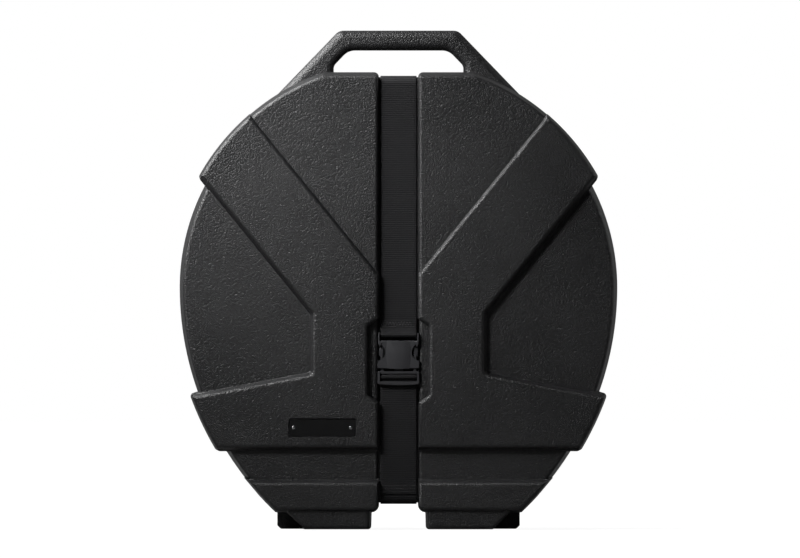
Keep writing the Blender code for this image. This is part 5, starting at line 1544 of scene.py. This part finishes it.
def make_post(nylon, steel, screw_steel):
    flange = [(POST_BORE, FLANGE_BACK_Y), (FLANGE_RADIUS, FLANGE_BACK_Y),
              (FLANGE_RADIUS, FLANGE_FACE_Y), (HUB_RADIUS + FLANGE_THICKNESS, FLANGE_FACE_Y),
              (HUB_RADIUS, FLANGE_FACE_Y - FLANGE_THICKNESS / 2), (HUB_RADIUS, HUB_FACE_Y),
              (POST_BORE, HUB_FACE_Y)]
    bends = [0, 0.8 * MM, 1.2 * MM, 1.2 * MM, 1.2 * MM, 1 * MM, 0.5 * MM]
    base = turned("flange", round_corners(flange, bends, 5), 0.0, DISC_CENTRE_Z, 96)
    for place in screw_places():
        cut(base, bar_along("flange_hole", "y", SCREW_HOLE, FLANGE_FACE_Y - OVERRUN,
                            FLANGE_BACK_Y + OVERRUN, place, 24))
    ribs = [base]
    for index in range(3):
        angle = SCREW_START + pi / 3 + 2 * pi * index / 3
        rings = []
        for across in (-RIB_HALF, RIB_HALF):
            ring = []
            for radius, y in ((HUB_RADIUS - 1 * MM, FLANGE_FACE_Y + 0.5 * MM),
                              (FLANGE_RADIUS - 3 * MM, FLANGE_FACE_Y + 0.5 * MM),
                              (FLANGE_RADIUS - 5 * MM, FLANGE_FACE_Y - 0.8 * MM),
                              (HUB_RADIUS - 1 * MM, HUB_FACE_Y + 1.6 * MM)):
                x, z = swung(radius, across, angle)
                ring.append((x, y, DISC_CENTRE_Z + z))
            rings.append(ring)
        ribs.append(soften(lofted("rib", rings), 0.5 * MM, 3))
    give(joined("post_socket", ribs, nylon), "rear", "nylon", "post_base")
    for index, (x, z) in enumerate(screw_places(), start=1):
        make_screw(f"pan_screw_{index}", x, z, index, screw_steel)
    make_thread(steel)


def make_screw(name, x, z, index, material):
    """Pan-head screw with a cross recess."""
    under = FLANGE_FACE_Y - TOUCH_GAP
    head = [(0.0, under - 2.2 * MM), (2.2 * MM, under - 2.05 * MM),
            (3.4 * MM, under - 1.4 * MM), (SCREW_HEAD, under - 0.5 * MM),
            (SCREW_HEAD - 0.1 * MM, under), (1.9 * MM, under), (1.9 * MM, under + 8 * MM),
            (0.4 * MM, under + 9.2 * MM), (0.0, under + SCREW_LENGTH)]
    bends = [0, 1 * MM, 1 * MM, 0.3 * MM, 0, 0, 0, 0, 0]
    screw = turned(f"{name}_blank", round_corners(head, bends, 4, closed=False), x, z, 40)
    for turn in (0.0, pi / 2):
        angle = 0.35 + 0.7 * index + turn
        rings = []
        for y, reach, half in ((under - 3 * MM, 2.3 * MM, 0.5 * MM),
                               (under - 0.6 * MM, 0.8 * MM, 0.3 * MM)):
            ring = [swung(along, across, angle)
                    for along, across in rectangle(-reach, reach, -half, half)]
            rings.append([(x + right, y, z + up) for right, up in ring])
        cut(screw, lofted("cross", rings))
    give(finished(screw, name, material, weighted=False), "rear", "steel",
         f"post_screw_{index}")


def make_thread(material):
    """Threaded rod: a core with its chamfered tip, and one helical ridge."""
    foot = BOSS_FACE_Y + 4.7 * MM
    root = POST_RADIUS - 0.75 * MM
    core = [(0.0, foot), (root, foot), (root, POST_TIP_Y + 1 * MM),
            (root - 1.2 * MM, POST_TIP_Y), (0.0, POST_TIP_Y)]
    parts = [turned("core", core, 0.0, DISC_CENTRE_Z, 48)]
    steps = 32
    start = HUB_FACE_Y + 4 * MM
    count = int((start - POST_TIP_Y - 1.4 * MM) / THREAD_PITCH * steps)
    rings = []
    for index in range(count + 1):
        angle = 2 * pi * index / steps
        y = start - THREAD_PITCH * index / steps
        fade = min(1.0, index / steps, (count - index) / steps)
        crest = root + (POST_RADIUS - root) * fade
        ring = []
        for radius, offset in ((root - 0.2 * MM, -0.46), (crest, -0.1), (crest, 0.1),
                               (root - 0.2 * MM, 0.46)):
            ring.append((radius * cos(angle), y + offset * THREAD_PITCH,
                         DISC_CENTRE_Z + radius * sin(angle)))
        rings.append(ring)
    parts.append(lofted("ridge", rings))
    rod = joined("threaded_post", parts, material, angle=radians(50), weighted=False)
    give(rod, "rear", "steel", "centre_post")


def make_felt(name, y, body, node, material):
    """Felt washer with rolled edges and an uneven, fibrous face."""
    low = y - FELT_THICKNESS
    profile = round_corners([(POST_BORE, y), (FELT_RADIUS, y), (FELT_RADIUS, low),
                             (POST_BORE, low)], [0.6 * MM, 1.4 * MM, 1.4 * MM, 0.6 * MM], 5)
    dense = spaced(profile + [profile[0]], 0.8 * MM)[:-1]
    solid = turned(f"{name}_blank", dense, 0.0, DISC_CENTRE_Z, 120)
    for vert in solid.data.vertices:
        place = vert.co.copy()
        wobble = noise.noise(place * 420) * 0.22 * MM + noise.noise(place * 110) * 0.25 * MM
        out = Vector((place.x, 0.0, place.z - DISC_CENTRE_Z))
        reach = out.length
        if reach > POST_BORE + 1 * MM:
            inward = abs(wobble) * (1 if place.y < y - FELT_THICKNESS / 2 else -1)
            vert.co.y = place.y + inward
            vert.co.x -= out.x / reach * abs(wobble)
            vert.co.z -= out.z / reach * abs(wobble)
    give(finished(solid, name, material, weighted=False), body, "felt", node)


def make_stack(felt, steel, nylon):
    low_felt = HUB_FACE_Y - TOUCH_GAP
    make_felt("felt_lower", low_felt, "rear", "felt_washer_lower", felt)
    high_felt = low_felt - FELT_THICKNESS - TOUCH_GAP
    make_felt("felt_upper", high_felt, "clamp", "felt_washer_upper", felt)
    cup_y = high_felt - FELT_THICKNESS - TOUCH_GAP
    crest = cup_y - CUP_HEIGHT
    cup = [(CUP_RADIUS, cup_y), (CUP_RADIUS, cup_y - CUP_METAL), (CUP_CREST, crest),
           (POST_BORE, crest), (POST_BORE, crest + CUP_METAL), (CUP_CREST, crest + CUP_METAL),
           (CUP_RADIUS - CUP_METAL, cup_y)]
    bends = [0.4 * MM, 0.5 * MM, 2.5 * MM, 0.4 * MM, 0.4 * MM, 1.8 * MM, 0.3 * MM]
    give(finished(turned("cup", round_corners(cup, bends, 5), 0.0, DISC_CENTRE_Z, 96),
                  "cup_shaped_washer", steel), "clamp", "steel", "cup_washer")
    nut_y = crest - TOUCH_GAP
    profile = [(POST_BORE, nut_y), (NUT_RADIUS, nut_y), (NUT_NECK_RADIUS, nut_y - NUT_HEIGHT),
               (POST_BORE, nut_y - NUT_HEIGHT)]
    bends = [0.4 * MM, 0.8 * MM, 1 * MM, 0.5 * MM]
    parts = [turned("nut", round_corners(profile, bends, 5), 0.0, DISC_CENTRE_Z, FINE_SIDES)]
    wing_root = (POST_BORE + NUT_NECK_RADIUS) / 2
    root_y = nut_y - NUT_HEIGHT / 4
    tip_y = root_y - WING_RISE
    for mirror in (1, -1):
        corners = [(wing_root, root_y), (WING_SPAN_HALF, tip_y + WING_ROUND),
                   (WING_SPAN_HALF, tip_y - WING_HEIGHT / 2),
                   (wing_root, nut_y - NUT_HEIGHT + WING_THICKNESS / 4)]
        corners = round_corners(corners, [0, WING_ROUND, WING_ROUND, 0], 7)
        rings = [[(mirror * x, y, DISC_CENTRE_Z + across) for x, y in corners]
                 for across in (-WING_THICKNESS / 2, WING_THICKNESS / 2)]
        parts.append(soften(lofted("wing", rings), WING_EDGE, 5, radians(60)))
    give(joined("wing_nut_moulded", parts, nylon), "nut", "nylon", "wing_nut")


# Stage

def seen_white(tree, depth):
    """1 for rays that should meet white: the camera's and those through clear things.
    Mirrored ones that leave towards the rear, as depth along y says, meet a dimmed white."""
    rays = add_node(tree, "ShaderNodeLightPath")
    behind = remap(tree, depth, 0.0, MIRRORED_WHITE, 0.1, 0.4)
    mirrored = calculate(tree, "MULTIPLY", rays.outputs["Is Glossy Ray"], behind)
    clear = calculate(tree, "MAXIMUM", rays.outputs["Is Transmission Ray"], mirrored)
    return calculate(tree, "MAXIMUM", rays.outputs["Is Camera Ray"], clear)


def make_stage():
    """Pale floor that shows white but for the contact shadow, under a white surround."""
    bm = bmesh.new()
    bm.faces.new([bm.verts.new((x, y, 0.0))
                  for x, y in rectangle(-FLOOR_HALF, FLOOR_HALF, -FLOOR_HALF, FLOOR_HALF)])
    ground = finish_mesh("floor", bm)
    tools.objects.unlink(ground)
    bpy.context.scene.collection.objects.link(ground)
    material = bpy.data.materials.new("floor_paper")
    material.use_nodes = True
    tree = material.node_tree
    tree.nodes.clear()
    place = object_places(tree)
    away = add_node(tree, "ShaderNodeVectorMath", {0: place}, operation="LENGTH")
    depth = add_node(tree, "ShaderNodeSeparateXYZ", {0: place}).outputs["Y"]
    share = remap(tree, away.outputs["Value"], 0.94, 1.0, 0.3, 0.9)
    glow = add_node(tree, "ShaderNodeEmission",
                    {"Color": colour("ffffff"),
                     "Strength": calculate(tree, "MULTIPLY", seen_white(tree, depth), share)})
    paper = add_node(tree, "ShaderNodeBsdfDiffuse", {"Color": colour("747474")})
    both = add_node(tree, "ShaderNodeAddShader", {0: glow.outputs[0], 1: paper.outputs[0]})
    output = add_node(tree, "ShaderNodeOutputMaterial")
    tree.links.new(both.outputs[0], output.inputs["Surface"])
    ground.data.materials.append(material)
    world = bpy.data.worlds.new("surround")
    world.use_nodes = True
    bpy.context.scene.world = world
    tree = world.node_tree
    tree.nodes.clear()
    direction = add_node(tree, "ShaderNodeTexCoord").outputs["Generated"]
    depth = add_node(tree, "ShaderNodeSeparateXYZ", {0: direction}).outputs["Y"]
    strength = remap(tree, seen_white(tree, depth), SURROUND_LIGHT, 1.0)
    light = add_node(tree, "ShaderNodeBackground", {"Color": colour("ffffff"),
                                                    "Strength": strength})
    output = add_node(tree, "ShaderNodeOutputWorld")
    tree.links.new(light.outputs[0], output.inputs["Surface"])


def add_lamp(name, place, target, size, power, spread):
    lamp = bpy.data.lights.new(name, "AREA")
    lamp.shape = "RECTANGLE"
    lamp.size = size[0]
    lamp.size_y = size[1]
    lamp.energy = power
    lamp.spread = radians(spread)
    holder = bpy.data.objects.new(name, lamp)
    bpy.context.scene.collection.objects.link(holder)
    holder.location = place
    holder.rotation_euler = (Vector(target) - Vector(place)).to_track_quat("-Z", "Y").to_euler()


def make_lights_and_camera():
    add_lamp("key", (-1.0, -1.0, 1.35), (-0.25, -0.08, 0.62), (0.5, 0.5), 3.3, 45)
    add_lamp("graze", (-1.05, -0.45, 1.3), (-0.2, -0.08, 0.62), (0.5, 0.5), 0.7, 45)
    add_lamp("rim_left", (-1.5, 0.1, 2.1), (-0.1, 0.0, 0.5), (1.0, 1.0), 13, 70)
    add_lamp("rim_right", (2.2, 0.1, 1.1), (0.1, 0.0, 0.45), (0.5, 1.2), 2, 80)
    view = bpy.data.cameras.new("camera")
    view.sensor_width = CAMERA_SENSOR
    view.lens = CAMERA_LENS
    view.clip_end = CAMERA_REACH
    camera = bpy.data.objects.new("camera", view)
    bpy.context.scene.collection.objects.link(camera)
    camera.location = CAMERA_PLACE
    camera.rotation_euler = (pi / 2, 0.0, 0.0)
    bpy.context.scene.camera = camera
    bpy.context.scene.view_settings.view_transform = "Standard"


def clear_tools():
    for solid in list(tools.objects):
        mesh = solid.data
        bpy.data.objects.remove(solid, do_unlink=True)
        bpy.data.meshes.remove(mesh)
    bpy.data.collections.remove(tools)


def main():
    shell = shell_material()
    webbing = web_material()
    thread = thread_material()
    acetal = plastic_material("buckle_acetal", "29292b", "363639", 0.38, 0.48, 2200.0,
                             0.05 * MM)
    nylon = plastic_material("moulded_nylon", "151516", "222224", 0.36, 0.5, 1300.0,
                             0.15 * MM)
    steel = steel_material("zinc_steel", "9c9ea1", "c6c8cb", 0.22, 0.4)
    bright = steel_material("rivet_steel", "a8aaad", "d2d4d7", 0.16, 0.3)
    felt = felt_material()
    foam = foam_material()
    make_lid(shell)
    make_back(shell)
    make_strap(webbing)
    make_sewing(thread)
    make_socket_half(acetal)
    make_plug_half(acetal)
    make_badge(enamel_material(), bright)
    make_strap_rivets(bright)
    rear_far = REAR_INNER_Y - TOUCH_GAP
    make_pad("foam_rear", BOSS_RADIUS + PAD_HOLE_MARGIN, rear_far, -1, "rear",
             "rear_foam_pad", foam, STRAP_RIVET_PLACES)
    make_pad("foam_lid", LID_PAD_HOLE, -(LID_INNER_LEVEL - TOUCH_GAP), 1, "lid",
             "lid_foam_pad", foam)
    make_post(nylon, steel, bright)
    make_stack(felt, steel, nylon)
    for node in ("strap_rivet_washer_upper", "strap_rivet_washer_lower"):
        for slot in frame["nodes"][node].material_slots:
            slot.material = steel
    make_stage()
    clear_tools()
    make_lights_and_camera()


main()
